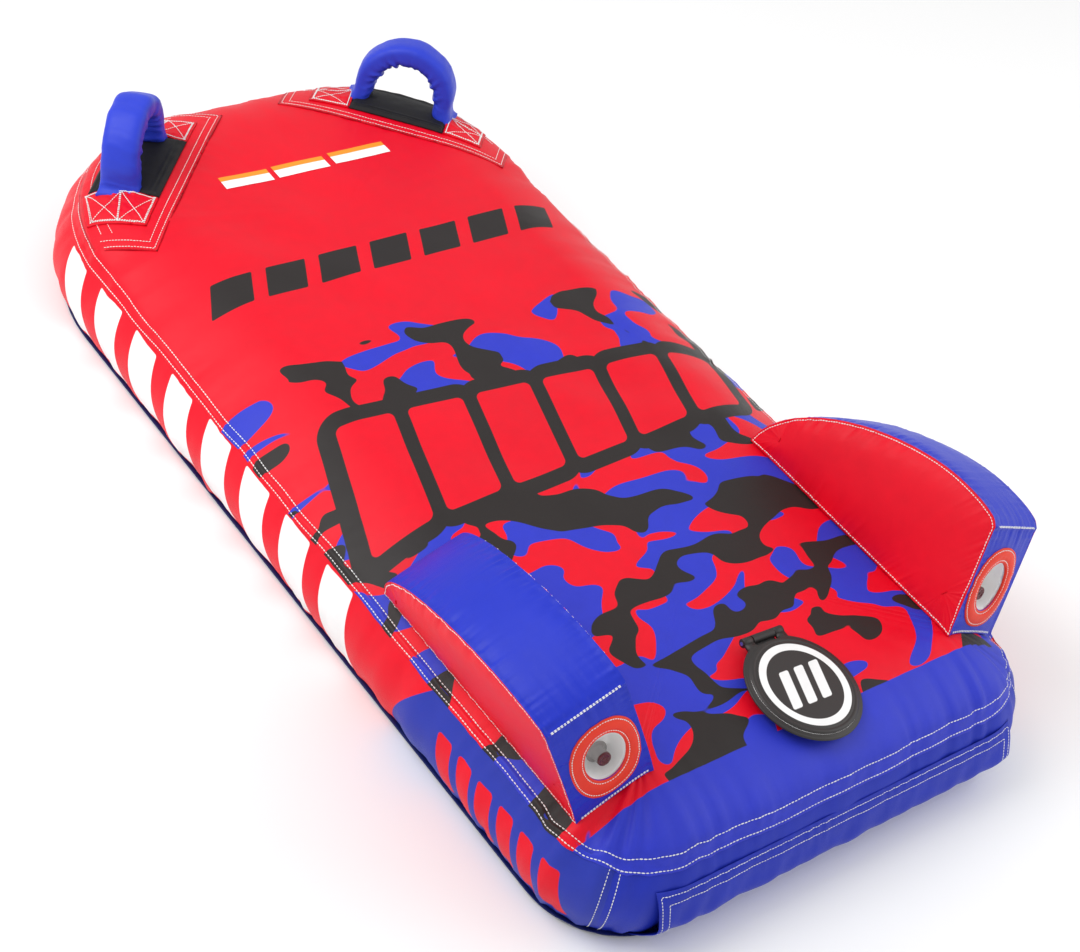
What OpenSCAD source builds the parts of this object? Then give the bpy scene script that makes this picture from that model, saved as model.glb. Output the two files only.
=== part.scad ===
// Towable tube: a one-rider inflatable board with two side bolsters, two grab handles,
// a lidded inflation valve, a zipped fabric cover and a swinging tow link at the nose.
// +Y points to the nose, +X to the rider's right, +Z up. The origin is on the ground
// under the middle of the board. All lengths are in millimetres.

/* [Board] */
// Width across the seams
board_w = 730; // [680:5:800]
// Length from the nose seam to the rear seam
board_l = 1466; // [1400:2:1600]
// Height of the flat deck above the ground
deck_z = 182; // [170:1:200]
// Height of the seam between the deck and the walls
seam_z = 126; // [115:1:140]
// How far the walls bulge out past the seams
wall_bulge = 25; // [15:1:30]
// Corner radius of the nose seam
nose_r = 275; // [240:5:300]
// Corner radius of the rear seam
rear_r = 113; // [90:1:120]
// Width of the rounded border of the deck
crown_w = 130; // [110:5:150]
// Thickness of the cover fabric
skin = 2; // [1:0.5:3]

/* [Handles] */
// Distance from the nose corner seam in to the middle of the handle
handle_inset = 70; // [60:1:80]
// Radius of the handle's arch at the middle of its grip
handle_r = 62; // [58:1:70]
// Width of the padded grip
grip_w = 52; // [40:1:56]
// Thickness of the padded grip
grip_t = 36; // [28:1:38]
// How far the arch leans outwards
handle_lean = 8; // [0:1:12]

/* [Bolsters] */
// Width of a bolster
bolster_w = 113; // [100:1:116]
// Length of a bolster along its foot
bolster_l = 400; // [360:5:420]
// Height of a bolster at its crest
bolster_h = 162; // [150:1:175]
// Height of the end panel that faces the rear
end_h = 150; // [140:1:150]
// Forward lean of the end panel
end_lean = 15; // [10:1:18]
// Outward lean of the whole bolster
bolster_lean = 22.9; // [20:0.1:25]
// Radius of the round opening in the end panel
port_r = 32; // [28:1:34]

/* [Valve] */
// Radius of the inflation valve's lid
lid_r = 79; // [74:1:82]
// Backward tilt of the valve
valve_tilt_back = 7; // [5:0.5:8]
// Tilt of the valve to the right
valve_tilt_side = 4; // [0:0.5:4]

/* [Zipper and flap] */
// Length of the zipper in the rear wall
zip_l = 560; // [480:10:560]
// Length of the flap that covers the zipper
flap_l = 600; // [520:10:600]

/* [Tow point] */
// Radius of the eye that takes the tow rope's hook
tow_eye_r = 11; // [9:0.5:12]
// Height of the tow link's hinge bar above the ground
tow_bar_z = 88; // [80:1:95]

/* [Hidden] */

red = "crimson";
blue = "royalblue";
navy = "midnightblue";
black = "#262626";
white = "whitesmoke";

hw = board_w / 2;
hl = board_l / 2;
air_gap = 0.5;          // between the cover and the bladder inside it
fit_gap = 0.05;         // radial clearance of a pin in its hole
eps = 1;                // overshoot of a cutting tool

// ---------------------------------------------------------------- board outline
function ramp(v, lo, hi) = let (t = max(0, min(1, (v - lo) / (hi - lo)))) t * t * (3 - 2 * t);
function arc_points(c, r, a0, n) =
    [for (i = [0:n]) let (a = a0 + 90 * i / n) [c[0] + r * cos(a), c[1] + r * sin(a)]];

// Closed plan outline, a given distance inside the seam line, anticlockwise from the right side.
nose_steps = 12;
rear_steps = 8;
side_stations = [200, 290, 380];
function outline(inset) =
    let (w = hw - inset, l = hl - inset, rn = nose_r - inset, rr = max(rear_r - inset, 8))
    concat(
        arc_points([w - rn, l - rn], rn, 0, nose_steps),
        arc_points([rn - w, l - rn], rn, 90, nose_steps),
        [for (k = [len(side_stations) - 1:-1:0]) [-w, side_stations[k]]],
        arc_points([rr - w, rr - l], rr, 180, rear_steps),
        arc_points([w - rr, rr - l], rr, 270, rear_steps),
        [for (y = side_stations) [w, y]]
    );
outline_n = 2 * (nose_steps + 1) + 2 * (rear_steps + 1) + 2 * len(side_stations);

// Distance inside the seam line of a plan point.
function inset_at(p) =
    let (r = p[1] > 0 ? nose_r : rear_r, q = [abs(p[0]) - hw + r, abs(p[1]) - hl + r])
    (q[0] > 0 && q[1] > 0) ? r - norm(q) : r - max(q[0], q[1]);

// How far a plan point lies round the rear corner: 0 along a side, 1 along the rear edge.
function rear_turn(p) =
    let (q = [abs(p[0]) - hw + crown_w, -p[1] - hl + crown_w])
    q[1] <= 0 ? 0 : q[0] <= 0 ? 1 : q[1] / norm(q);

// The deck is full and round at the nose and the rear, and flatter along the sides.
side_power = 1.6;
function crown_height(inset, p) =
    let (u = 1 - min(max(inset, 0), crown_w) / crown_w,
         full = max(ramp(p[1], 200, 600), ramp(rear_turn(p), 0.5, 1)))
    seam_z + (deck_z - seam_z) * (full * sqrt(1 - u * u) + (1 - full) * (1 - pow(u, side_power)));
function deck_at(p) = crown_height(inset_at(p), p);

// Wall bulge at a height, as a negative inset.
wall_base = skin;
function wall_inset(z) =
    let (t = 2 * (z - wall_base) / (seam_z - wall_base) - 1) -wall_bulge * (1 - t * t);
function wall_y(z) = hl - wall_inset(z);

// ---------------------------------------------------------------- solids from rings
// Joins closed loops of points, one after another, into a solid with a cap at each end.
// The first few bands can be split along their other diagonal, so that the two faces of a
// skin match. A loop that runs out along a line and back along another has caps of strips.
module ring_solid(rings, flip = false, mirrored_bands = 0, strips = false) {
    n = len(rings[0]);
    m = len(rings);
    last = (m - 1) * n;
    sides = [for (k = [0:m - 2], i = [0:n - 1])
        each let (a = k * n + i, b = k * n + (i + 1) % n, c = b + n, d = a + n)
            k < mirrored_bands ? [[a, d, b], [b, d, c]] : [[a, d, c], [a, c, b]]];
    caps = strips
        ? [for (i = [0:n / 2 - 2], end = [0, 1])
            end == 0 ? [i, i + 1, n - 2 - i, n - 1 - i]
                     : [last + n - 1 - i, last + n - 2 - i, last + i + 1, last + i]]
        : [[for (i = [0:n - 1]) i], [for (i = [n - 1:-1:0]) last + i]];
    faces = concat(sides, caps);
    turned = [for (f = faces) [for (i = [len(f) - 1:-1:0]) f[i]]];
    polyhedron(points = [for (r = rings) each r], faces = flip ? turned : faces);
}

crown_steps = 6;
// Ring number k of the deck, from the seam (0) to the flat (crown_steps), moved in and down.
function crown_ring(k, inward, down) =
    let (inset = crown_w * (1 - cos(90 * k / crown_steps)), pts = outline(inset + inward))
    [for (p = pts) [p[0], p[1], max(seam_z, crown_height(inset, p) - down)]];

wall_steps = 6;
function wall_z(k) = wall_base + (seam_z - wall_base) * k / wall_steps;

// A strip of wall between two points of the outline.
module wall_strip(first, last) {
    loops = [for (i = [first:last])
        let (j = i % outline_n)
        concat(
            [for (k = [0:wall_steps])
                let (p = outline(wall_inset(wall_z(k)))[j]) [p[0], p[1], wall_z(k)]],
            [for (k = [wall_steps:-1:0])
                let (p = outline(wall_inset(wall_z(k)) + skin)[j]) [p[0], p[1], wall_z(k)]]
        )];
    ring_solid(loops, flip = true, strips = true);
}

// ---------------------------------------------------------------- cover of the board
module top_panel() {
    color(red)
    difference() {
        ring_solid(concat(
            [for (k = [crown_steps:-1:0]) crown_ring(k, skin, skin)],
            [for (k = [0:crown_steps]) crown_ring(k, 0, 0)]
        ), mirrored_bands = crown_steps);
        at_valve() translate([0, 0, -40]) cylinder(r = collar_r + 1, h = 60, $fn = 72);
    }
}

// The side walls run from the straight nose panel to joints in the middle of the rear corners.
nose_joint = nose_steps;
rear_joint_left = 2 * (nose_steps + 1) + len(side_stations) + rear_steps / 2;
rear_joint_right = rear_joint_left + rear_steps + 1;
module side_panel_left() {
    color(red) wall_strip(nose_joint + 1, rear_joint_left);
}
module side_panel_right() {
    color(red) wall_strip(rear_joint_right, outline_n + nose_joint);
}
module nose_panel() {
    color(red) wall_strip(nose_joint, nose_joint + 1);
}
module rear_panel() {
    color(blue) wall_strip(rear_joint_left, rear_joint_right);
}

drain_x = 150;
drain_y = -620;
grommet_r = 9;
module bottom_panel() {
    color(navy)
    difference() {
        linear_extrude(skin) polygon(outline(0));
        for (x = [-drain_x, drain_x])
            translate([x, drain_y, -eps]) cylinder(r = grommet_r + fit_gap, h = skin + 2 * eps, $fn = 48);
    }
}

binding_w = 6;
module bottom_binding() {
    color(navy)
    linear_extrude(skin)
    difference() {
        polygon(outline(-binding_w));
        polygon(outline(0));
    }
}

module drain_grommets() {
    color("darkgoldenrod")
    for (x = [-drain_x, drain_x])
        translate([x, drain_y, 0.1])
        difference() {
            cylinder(r = grommet_r, h = skin, $fn = 48);
            translate([0, 0, -eps]) cylinder(r = 5, h = skin + 2 * eps, $fn = 48);
        }
}

// ---------------------------------------------------------------- bladder of the board
module main_bladder() {
    in = skin + air_gap;
    color(white)
    difference() {
        ring_solid(concat(
            [[for (p = outline(30)) [p[0], p[1], skin + air_gap]]],
            [for (k = [1:wall_steps - 1])
                [for (p = outline(wall_inset(wall_z(k)) + in)) [p[0], p[1], wall_z(k)]]],
            [[for (p = outline(in)) [p[0], p[1], seam_z - in]]],
            [for (k = [1:crown_steps])
                [for (p = crown_ring(k, in, in)) [p[0], p[1], p[2] - air_gap]]]
        ));
        at_valve() {
            translate([0, 0, -well_depth]) cylinder(r = neck_r + 0.3, h = 80, $fn = 72);
            translate([0, 0, flange_z - 0.2]) cylinder(r = flange_r + 0.3, h = 60, $fn = 72);
        }
    }
}

// ---------------------------------------------------------------- handles at the nose
// Local frame of the right nose corner: X along the handle, Y outwards to the seam.
reach = nose_r - handle_inset;
corner_c = [hw - nose_r + reach * cos(45), hl - nose_r + reach * sin(45)];
function corner_point(s, t) = corner_c + (s * [1, -1] + t * [1, 1]) / sqrt(2);
// Outermost reach of a sewn-on piece at a station along the handle, kept inside the seam.
function corner_edge(s, inset) = sqrt(pow(nose_r - inset, 2) - s * s) - reach;

// A piece of cloth or foam laid on the deck between two stations and two edges.
module draped(s0, s1, t0, edge_inset, t_max, lift, thick, rows, cols) {
    loops = [for (i = [0:rows])
        let (s = s0 + (s1 - s0) * i / rows, t1 = min(t_max, corner_edge(s, edge_inset)),
             line = [for (j = [0:cols]) corner_point(s, t0 + (t1 - t0) * j / cols)])
        concat(
            [for (p = line) [p[0], p[1], deck_at(p) + lift]],
            [for (j = [cols:-1:0]) [line[j][0], line[j][1], deck_at(line[j]) + lift + thick]]
        )];
    ring_solid(loops, strips = true);
}
module left_of(side) {
    if (side < 0) mirror([1, 0, 0]) children();
    else children();
}

patch_half = 79;        // where the patches begin, each way from the middle of the handle
patch_w = 49;
cloth_t = 1;
pad_t = 6;
module handle_reinforcement(side) {
    color(red) left_of(side) draped(-178, 178, -85, 4, 200, 1.1, cloth_t, 18, 10);
}
module knuckle_pad(side) {
    color(black) left_of(side)
    draped(-patch_half + 0.5, patch_half - 0.5, -57, 10, 42, 2.5, pad_t, 8, 10);
}
module handle_patch(side, end) {
    from = end > 0 ? patch_half : -patch_half - patch_w;
    color(red) left_of(side) draped(from, from + patch_w, -57, 9, 200, 2.5, 2, 4, 10);
}

handle_axis_z = deck_at(corner_point(patch_half, 0)) + 5;
grip_rise = 30;         // the moving grip starts this far above the fold line
module rounded(w, h, r) {
    square([w - 2 * r, h], center = true);
    square([w, h - 2 * r], center = true);
    for (x = [-1, 1], y = [-1, 1])
        translate([x * (w / 2 - r), y * (h / 2 - r)]) circle(r = r, $fn = 32);
}
// Sweeps a section round the handle's arch; the section's X is the thickness, its Y the width.
module arch(side) {
    left_of(side)
    translate([corner_c[0], corner_c[1], handle_axis_z])
    rotate([0, 0, -45])
    rotate([-handle_lean, 0, 0])
    translate([0, 0, grip_rise])
    rotate([90, 0, 0])
    rotate_extrude(angle = 180, $fn = 64)
    translate([handle_r, 0]) children();
}
web_w = 36;
web_t = 3;
sleeve_t = 1.5;
module handle_web(side) {
    color(black) arch(side) square([web_t, web_w], center = true);
}
module handle_foam(side) {
    color("dimgray") arch(side)
    difference() {
        rounded(grip_t - 2 * sleeve_t - 1, grip_w - 2 * sleeve_t - 1, 12);
        square([web_t + 1, web_w + 1], center = true);
    }
}
module handle_sleeve(side) {
    color(blue) arch(side)
    difference() {
        rounded(grip_t, grip_w, 15);
        rounded(grip_t - 2 * sleeve_t, grip_w - 2 * sleeve_t, 13.5);
    }
}

// ---------------------------------------------------------------- side bolsters
// Local frame of the right bolster: X across it from the inner to the outer foot, Y to the
// nose, Z up its sides. Its foot follows the slope of the deck's side.
bolster_x = hw - 120;
bolster_rear = -(hl - 92);
foot_lift = 5.5;
top_rear = bolster_rear + end_h * sin(end_lean);
end_top = end_h * cos(end_lean);
crest_y = bolster_rear + 121;
tip_y = bolster_rear + bolster_l;
module on_bolster(side) {
    left_of(side)
    translate([bolster_x, 0, deck_z])
    rotate([0, bolster_lean, 0])
    translate([0, 0, foot_lift])
    children();
}
// Side profile: straight end panel, short rise to the crest, long round fall to the tip.
function bolster_profile(inset) =
    let (h = bolster_h - inset, tip = tip_y - inset, y0 = bolster_rear + inset, top = end_top - inset,
         yt = top_rear + inset * 1.2)
    concat(
        [[y0, inset]],
        [for (i = [0:5]) let (a = 90 * i / 5)
            [crest_y - (crest_y - yt) * cos(a), top + (h - top) * sin(a)]],
        [for (i = [1:12]) let (a = 90 * i / 12, u = pow(sin(a), 2 / 1.7), v = pow(max(cos(a), 0), 2 / 1.7))
            [crest_y + (tip - crest_y) * u, inset + (h - inset) * v]]
    );
module bolster_slab(x0, x1, inset) {
    translate([x0, 0, 0]) rotate([90, 0, 90]) linear_extrude(x1 - x0) polygon(bolster_profile(inset));
}
module on_end_panel() {
    translate([0, bolster_rear, 0]) rotate([90 - end_lean, 0, 0]) children();
}
port_c = [48, 66];
ring_outer_r = 46;
module port_hole(r, from, h) {
    on_end_panel() translate([port_c[0], port_c[1], from]) cylinder(r = r, h = h, $fn = 72);
}

module bolster_inner_panel(side) {
    color(red) on_bolster(side) bolster_slab(0, skin, 0);
}
module bolster_outer_panel(side) {
    color(red) on_bolster(side) bolster_slab(bolster_w - skin, bolster_w, 0);
}
module bolster_top_panel(side) {
    color(blue) on_bolster(side)
    difference() {
        bolster_slab(skin, bolster_w - skin, 0);
        bolster_slab(0, bolster_w, skin);
        on_end_panel() translate([-eps, -eps, -skin - 4]) cube([bolster_w + 2, end_h + eps, 60]);
        translate([-eps, bolster_rear - 60, -50 + skin]) cube([bolster_w + 2, bolster_l - 20, 50]);
        translate([-eps, bolster_rear - 60, -50]) cube([bolster_w + 2, 100, 60]);
    }
}
module bolster_end_panel(side) {
    color(blue) on_bolster(side)
    difference() {
        on_end_panel() translate([skin, 4, -skin]) cube([bolster_w - 2 * skin, end_h - 5, skin]);
        port_hole(port_r, -20, 40);
    }
}
module bolster_port_ring(side) {
    color("orangered") on_bolster(side)
    difference() {
        port_hole(ring_outer_r, 0.1, 1.5);
        port_hole(port_r, -20, 40);
    }
}
recess_depth = 26;
module bolster_bladder(side) {
    color(white) on_bolster(side)
    difference() {
        bolster_slab(skin + 1, bolster_w - skin - 1, skin + 1);
        on_end_panel() translate([-eps, -20, -skin - 1]) cube([bolster_w + 2, end_h + 60, 60]);
        port_hole(port_r + 3, -recess_depth, 60);
    }
}
stem_c = [53, 52];
stem_r = 9;
plug_r = 6;
module at_stem(side, height) {
    on_bolster(side) on_end_panel() translate([stem_c[0], stem_c[1], -recess_depth + height]) children();
}
module bolster_valve(side) {
    color("lightgray") at_stem(side, 0.1)
    difference() {
        union() {
            cylinder(r = stem_r + 5, h = 2, $fn = 48);
            cylinder(r = stem_r, h = 15, $fn = 48);
        }
        translate([0, 0, 3]) cylinder(r = plug_r + fit_gap, h = 20, $fn = 48);
    }
}
module bolster_plug(side) {
    color("darkred") at_stem(side, 0.1) {
        translate([0, 0, 5]) cylinder(r = plug_r, h = 10.2, $fn = 48);
        translate([0, 0, 15.2]) cylinder(r = stem_r, h = 3, $fn = 48);
    }
}

// ---------------------------------------------------------------- inflation valve
// Local frame: origin at the middle of the lid's top face, Z along the valve.
valve_y = -(hl - 105);
lid_top_z = deck_z + 14;
lid_t = 8.5;
neck_r = 36;
bore_r = 32;
mouth_r = 22;
flange_r = 52;
flange_z = -27;
well_depth = 50;
collar_r = 44;
collar_z = -13.4;
collar_t = 2.8;
hinge_y = lid_r + 5;
hinge_z = -9;
hinge_pin_r = 2.5;
knuckle_r = 6;
knuckle_in = 18;        // the collar's knuckle reaches this far each way
knuckle_out = 34;       // the lid's two knuckles end here
module at_valve() {
    translate([0, valve_y, lid_top_z]) rotate([valve_tilt_back, valve_tilt_side, 0]) children();
}
module along_x(x0, x1, y, z, r) {
    translate([x0, y, z]) rotate([0, 90, 0]) cylinder(r = r, h = x1 - x0, $fn = 48);
}

module valve_base() {
    color(black) at_valve()
    difference() {
        union() {
            translate([0, 0, -well_depth + 1]) cylinder(r = neck_r, h = well_depth - 1 + collar_z + collar_t, $fn = 72);
            translate([0, 0, flange_z]) cylinder(r = flange_r, h = 2, $fn = 72);
        }
        translate([0, 0, -well_depth]) cylinder(r = bore_r, h = 60, $fn = 72);
    }
}
insert_top = -13;
insert_h = 25;
module valve_insert() {
    color("gray") at_valve()
    difference() {
        translate([0, 0, insert_top - insert_h]) cylinder(r = bore_r - fit_gap, h = insert_h, $fn = 72);
        translate([0, 0, -60]) cylinder(r = mouth_r, h = 80, $fn = 72);
    }
}
flap_t = 1.5;
module valve_check_flap() {
    color("silver") at_valve()
    translate([0, 0, insert_top - insert_h - flap_t - 0.1]) cylinder(r = mouth_r + 4, h = flap_t, $fn = 72);
}
module valve_collar() {
    color(black) at_valve()
    difference() {
        union() {
            translate([0, 0, collar_z]) cylinder(r = collar_r, h = collar_t, $fn = 72);
            translate([-knuckle_in, 0, collar_z]) cube([2 * knuckle_in, hinge_y, collar_t]);
            along_x(-knuckle_in, knuckle_in, hinge_y, hinge_z, knuckle_r);
        }
        translate([0, 0, -40]) cylinder(r = neck_r + 0.1, h = 60, $fn = 72);
        along_x(-knuckle_in - eps, knuckle_in + eps, hinge_y, hinge_z, hinge_pin_r);
    }
}
module valve_hinge_pin() {
    color("silver") at_valve() along_x(-knuckle_out - 1, knuckle_out + 1, hinge_y, hinge_z, hinge_pin_r);
}
module valve_lid() {
    color(black) at_valve()
    difference() {
        union() {
            translate([0, 0, -lid_t]) cylinder(r = lid_r, h = lid_t - 4, $fn = 96);
            translate([0, 0, -4]) cylinder(r = lid_r - 8, h = 4, $fn = 96);
            for (s = [-1, 1]) {
                x0 = s > 0 ? knuckle_in + 1 : -knuckle_out;
                along_x(x0, x0 + knuckle_out - knuckle_in - 1, hinge_y, hinge_z, knuckle_r);
                translate([x0, hinge_y - 18, hinge_z - 2]) cube([knuckle_out - knuckle_in - 1, 18, 6]);
            }
        }
        translate([-knuckle_in - 1, hinge_y - 11, -lid_t - eps]) cube([2 * knuckle_in + 2, 30, lid_t + 8]);
        along_x(-knuckle_out - eps, knuckle_out + eps, hinge_y, hinge_z, hinge_pin_r + fit_gap);
    }
}

// ---------------------------------------------------------------- zipper in the rear wall
zip_z = 52;
zip_y = -(hl + wall_bulge) - 0.4;   // face that the zipper's tape lies on
tape_t = 0.8;
coil_t = 2;
slider_x = -zip_l / 2 + 14;         // the slider rests at the closed, left-hand end
module zipper_tape() {
    color(black)
    translate([-zip_l / 2, zip_y - tape_t, zip_z - 12]) cube([zip_l, tape_t, 24]);
}
module zipper_coil() {
    color("dimgray")
    translate([-zip_l / 2, zip_y - tape_t - coil_t, zip_z - 3]) cube([zip_l, coil_t, 6]);
}
slider_y = zip_y - tape_t - coil_t - 0.3;
module zipper_slider() {
    color("silver")
    translate([slider_x, slider_y, zip_z]) {
        translate([-7, -2, -6]) cube([14, 2, 12]);
        translate([-4.5, -4.4, -1.5]) cube([2, 2.4, 3]);
        translate([2.5, -4.4, -1.5]) cube([2, 2.4, 3]);
        translate([-4.5, -5.2, -1.5]) cube([9, 0.8, 3]);
    }
}
flap_top = 100;
flap_off = 9;
flap_cloth = 1.5;
// Section of the flap from its sewn top edge down to the bottom seam, standing off the zipper.
function flap_section(extra) =
    [for (i = [0:8]) let (t = i / 8, z = flap_top - (flap_top - 6) * t)
        [-wall_y(z) - 2 - flap_off * sin(180 * t) - extra, z]];
module zipper_flap() {
    inner = flap_section(0);
    outer = flap_section(flap_cloth);
    color(blue)
    translate([-flap_l / 2, 0, 0]) rotate([90, 0, 90]) linear_extrude(flap_l)
    polygon(concat(inner, [for (i = [8:-1:0]) outer[i]]));
}

// ---------------------------------------------------------------- tow point at the nose
nose_y = hl + wall_bulge + 0.6;
tow_bar_r = 6;
web_loop_r = 9;
tow_bar_y = nose_y + 2.6 + web_loop_r;
tow_eye_z = tow_bar_z - 48;
tow_web_w = 50;
module tow_patch() {
    color(navy) translate([-60, nose_y, 18]) cube([120, 2, 92]);
}
module tow_strap() {
    color(black)
    difference() {
        union() {
            translate([-tow_web_w / 2, tow_bar_y - web_loop_r, 20]) cube([tow_web_w, 2.4, tow_bar_z - 20]);
            along_x(-tow_web_w / 2, tow_web_w / 2, tow_bar_y, tow_bar_z, web_loop_r);
        }
        along_x(-tow_web_w, tow_web_w, tow_bar_y, tow_bar_z, tow_bar_r + fit_gap);
    }
}
module tow_link() {
    cheek = 36;
    window = 27;
    color("#1c1c1c") {
        translate([0, tow_bar_y + 6, 0]) rotate([90, 0, 0]) linear_extrude(12)
        difference() {
            union() {
                polygon([[-cheek, tow_bar_z + 6], [cheek, tow_bar_z + 6], [20, tow_eye_z], [-20, tow_eye_z]]);
                translate([0, tow_eye_z]) circle(r = 20, $fn = 64);
            }
            translate([-window, tow_bar_z - 15]) square([2 * window, 40]);
            translate([0, tow_eye_z]) circle(r = tow_eye_r, $fn = 64);
        }
        along_x(-window - 4, window + 4, tow_bar_y, tow_bar_z, tow_bar_r);
    }
}

// ---------------------------------------------------------------- the whole board
main_bladder();
top_panel();
side_panel_left();
side_panel_right();
nose_panel();
rear_panel();
bottom_panel();
bottom_binding();
drain_grommets();
handle_reinforcement(-1);  // handle_reinforcement_left
handle_reinforcement(1);  // handle_reinforcement_right
knuckle_pad(-1);  // knuckle_pad_left
knuckle_pad(1);  // knuckle_pad_right
handle_patch(-1, -1);  // handle_patch_front_left
handle_patch(1, -1);  // handle_patch_front_right
handle_patch(-1, 1);  // handle_patch_rear_left
handle_patch(1, 1);  // handle_patch_rear_right
handle_web(-1);  // handle_web_left
handle_web(1);  // handle_web_right
handle_foam(-1);  // handle_foam_left
handle_foam(1);  // handle_foam_right
handle_sleeve(-1);  // handle_sleeve_left
handle_sleeve(1);  // handle_sleeve_right
bolster_inner_panel(-1);  // bolster_inner_panel_left
bolster_inner_panel(1);  // bolster_inner_panel_right
bolster_outer_panel(-1);  // bolster_outer_panel_left
bolster_outer_panel(1);  // bolster_outer_panel_right
bolster_top_panel(-1);  // bolster_top_panel_left
bolster_top_panel(1);  // bolster_top_panel_right
bolster_end_panel(-1);  // bolster_end_panel_left
bolster_end_panel(1);  // bolster_end_panel_right
bolster_port_ring(-1);  // bolster_port_ring_left
bolster_port_ring(1);  // bolster_port_ring_right
bolster_bladder(-1);  // bolster_bladder_left
bolster_bladder(1);  // bolster_bladder_right
bolster_valve(-1);  // bolster_valve_left
bolster_valve(1);  // bolster_valve_right
bolster_plug(-1);  // bolster_plug_left
bolster_plug(1);  // bolster_plug_right
valve_base();
valve_insert();
valve_check_flap();
valve_collar();
valve_hinge_pin();
valve_lid();
zipper_tape();
zipper_coil();
zipper_slider();
zipper_flap();
tow_patch();
tow_strap();
tow_link();
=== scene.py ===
# %% [markdown]
# # Towable tube
# A one-rider inflatable board: a zipped nylon cover over an air bladder, two puffed side
# bolsters at the rear, two padded grab handles at the nose, a lidded inflation valve and a
# tow link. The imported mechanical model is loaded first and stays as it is; every soft or
# moulded piece that shows is then made around it, in metres, in the same frame.

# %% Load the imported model
import math

import bmesh
import bpy
import numpy as np
from mathutils import Matrix, Vector
from mathutils.bvhtree import BVHTree


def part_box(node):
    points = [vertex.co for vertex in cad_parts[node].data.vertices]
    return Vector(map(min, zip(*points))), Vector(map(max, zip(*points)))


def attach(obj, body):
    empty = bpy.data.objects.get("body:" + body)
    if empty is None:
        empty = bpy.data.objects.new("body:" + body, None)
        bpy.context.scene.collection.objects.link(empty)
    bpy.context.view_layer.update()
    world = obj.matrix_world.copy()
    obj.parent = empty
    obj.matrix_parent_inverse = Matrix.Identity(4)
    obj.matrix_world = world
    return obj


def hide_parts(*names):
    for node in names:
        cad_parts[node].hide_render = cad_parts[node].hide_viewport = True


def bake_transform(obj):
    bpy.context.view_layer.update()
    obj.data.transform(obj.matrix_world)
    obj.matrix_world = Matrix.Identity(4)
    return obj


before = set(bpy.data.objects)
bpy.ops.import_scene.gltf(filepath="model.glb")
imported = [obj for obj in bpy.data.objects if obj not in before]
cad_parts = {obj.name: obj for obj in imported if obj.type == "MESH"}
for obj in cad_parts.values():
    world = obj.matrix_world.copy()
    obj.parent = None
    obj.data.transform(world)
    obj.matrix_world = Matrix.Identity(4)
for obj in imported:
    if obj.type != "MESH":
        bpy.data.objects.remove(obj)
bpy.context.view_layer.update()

# %% [markdown]
# ## Camera
# The board is seen from above its left rear corner through a moderate telephoto lens. The
# camera is turned by three angles about the line of sight, so its axes are worked out from
# those angles and written straight into its matrix.

# %% Camera
HEADING, DIP, ROLL = (math.radians(a) for a in (47.64, 40.69, 16.66))
LOOK_AT = Vector((-0.0753, -0.1823, 0.1823))
VIEW_DISTANCE = 2.912
LENS_MM = 74.84

sight = Vector((math.sin(HEADING) * math.cos(DIP), math.cos(HEADING) * math.cos(DIP), -math.sin(DIP)))
level = Vector((math.cos(HEADING), -math.sin(HEADING), 0.0))
upright = level.cross(sight)
right = math.cos(ROLL) * level + math.sin(ROLL) * upright
up = math.cos(ROLL) * upright - math.sin(ROLL) * level
camera = bpy.data.objects.new("camera", bpy.data.cameras.new("camera"))
camera.data.lens = LENS_MM
camera.matrix_world = Matrix.Translation(LOOK_AT - sight * VIEW_DISTANCE) @ Matrix(
    (right, up, -sight)).transposed().to_4x4()
bpy.context.collection.objects.link(camera)
bpy.context.scene.camera = camera
print("camera stands at", [round(c, 3) for c in camera.matrix_world.translation])

# %% [markdown]
# ## Nodes in few words
# Materials and Geometry Nodes trees are both built from nodes. One helper makes a node and
# fills its inputs, each with a value or with a link, and a second one does arithmetic.

# %% Node helpers
def put(tree, kind, inputs=(), **settings):
    """Adds a node; inputs is a dict or a list of (socket name or number, value or socket)."""
    made = tree.nodes.new(kind)
    for name, value in settings.items():
        setattr(made, name, value)
    for name, value in dict(inputs).items():
        if isinstance(value, bpy.types.NodeSocket):
            tree.links.new(value, made.inputs[name])
        else:
            made.inputs[name].default_value = value
    return made


def calc(tree, operation, *values, clamp=False):
    """One Math node, with numbers or sockets as its inputs."""
    made = put(tree, "ShaderNodeMath", dict(enumerate(values)), operation=operation, use_clamp=clamp)
    return made.outputs[0]


def mixed(tree, share, first, second):
    """Blends two colours by a mask."""
    return put(tree, "ShaderNodeMix", {0: share, 6: first, 7: second}, data_type="RGBA").outputs[2]


def soft_edge(tree, value, low, high):
    """0 below low and 1 above high."""
    made = put(tree, "ShaderNodeMapRange", {"Value": value, "From Min": low, "From Max": high})
    made.clamp = True
    return made.outputs[0]


def shader_group(name, inputs, outputs):
    """An empty shader node group with named sockets, and its input and output nodes."""
    tree = bpy.data.node_groups.new(name, "ShaderNodeTree")
    for label, kind, value in inputs:
        socket = tree.interface.new_socket(label, in_out="INPUT", socket_type=kind)
        if value is not None:
            socket.default_value = value
    for label, kind in outputs:
        tree.interface.new_socket(label, in_out="OUTPUT", socket_type=kind)
    return tree, tree.nodes.new("NodeGroupInput").outputs, tree.nodes.new("NodeGroupOutput").inputs


def use(tree, group, inputs=()):
    """Places a shader group in a tree."""
    return put(tree, "ShaderNodeGroup", inputs, node_tree=group).outputs


def rgb(red, green, blue):
    """A display colour, 0 to 255, as the linear colour that a shader takes."""
    def linear(c):
        c /= 255
        return c / 12.92 if c <= 0.04045 else ((c + 0.055) / 1.055) ** 2.4
    return (linear(red), linear(green), linear(blue), 1.0)


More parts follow.
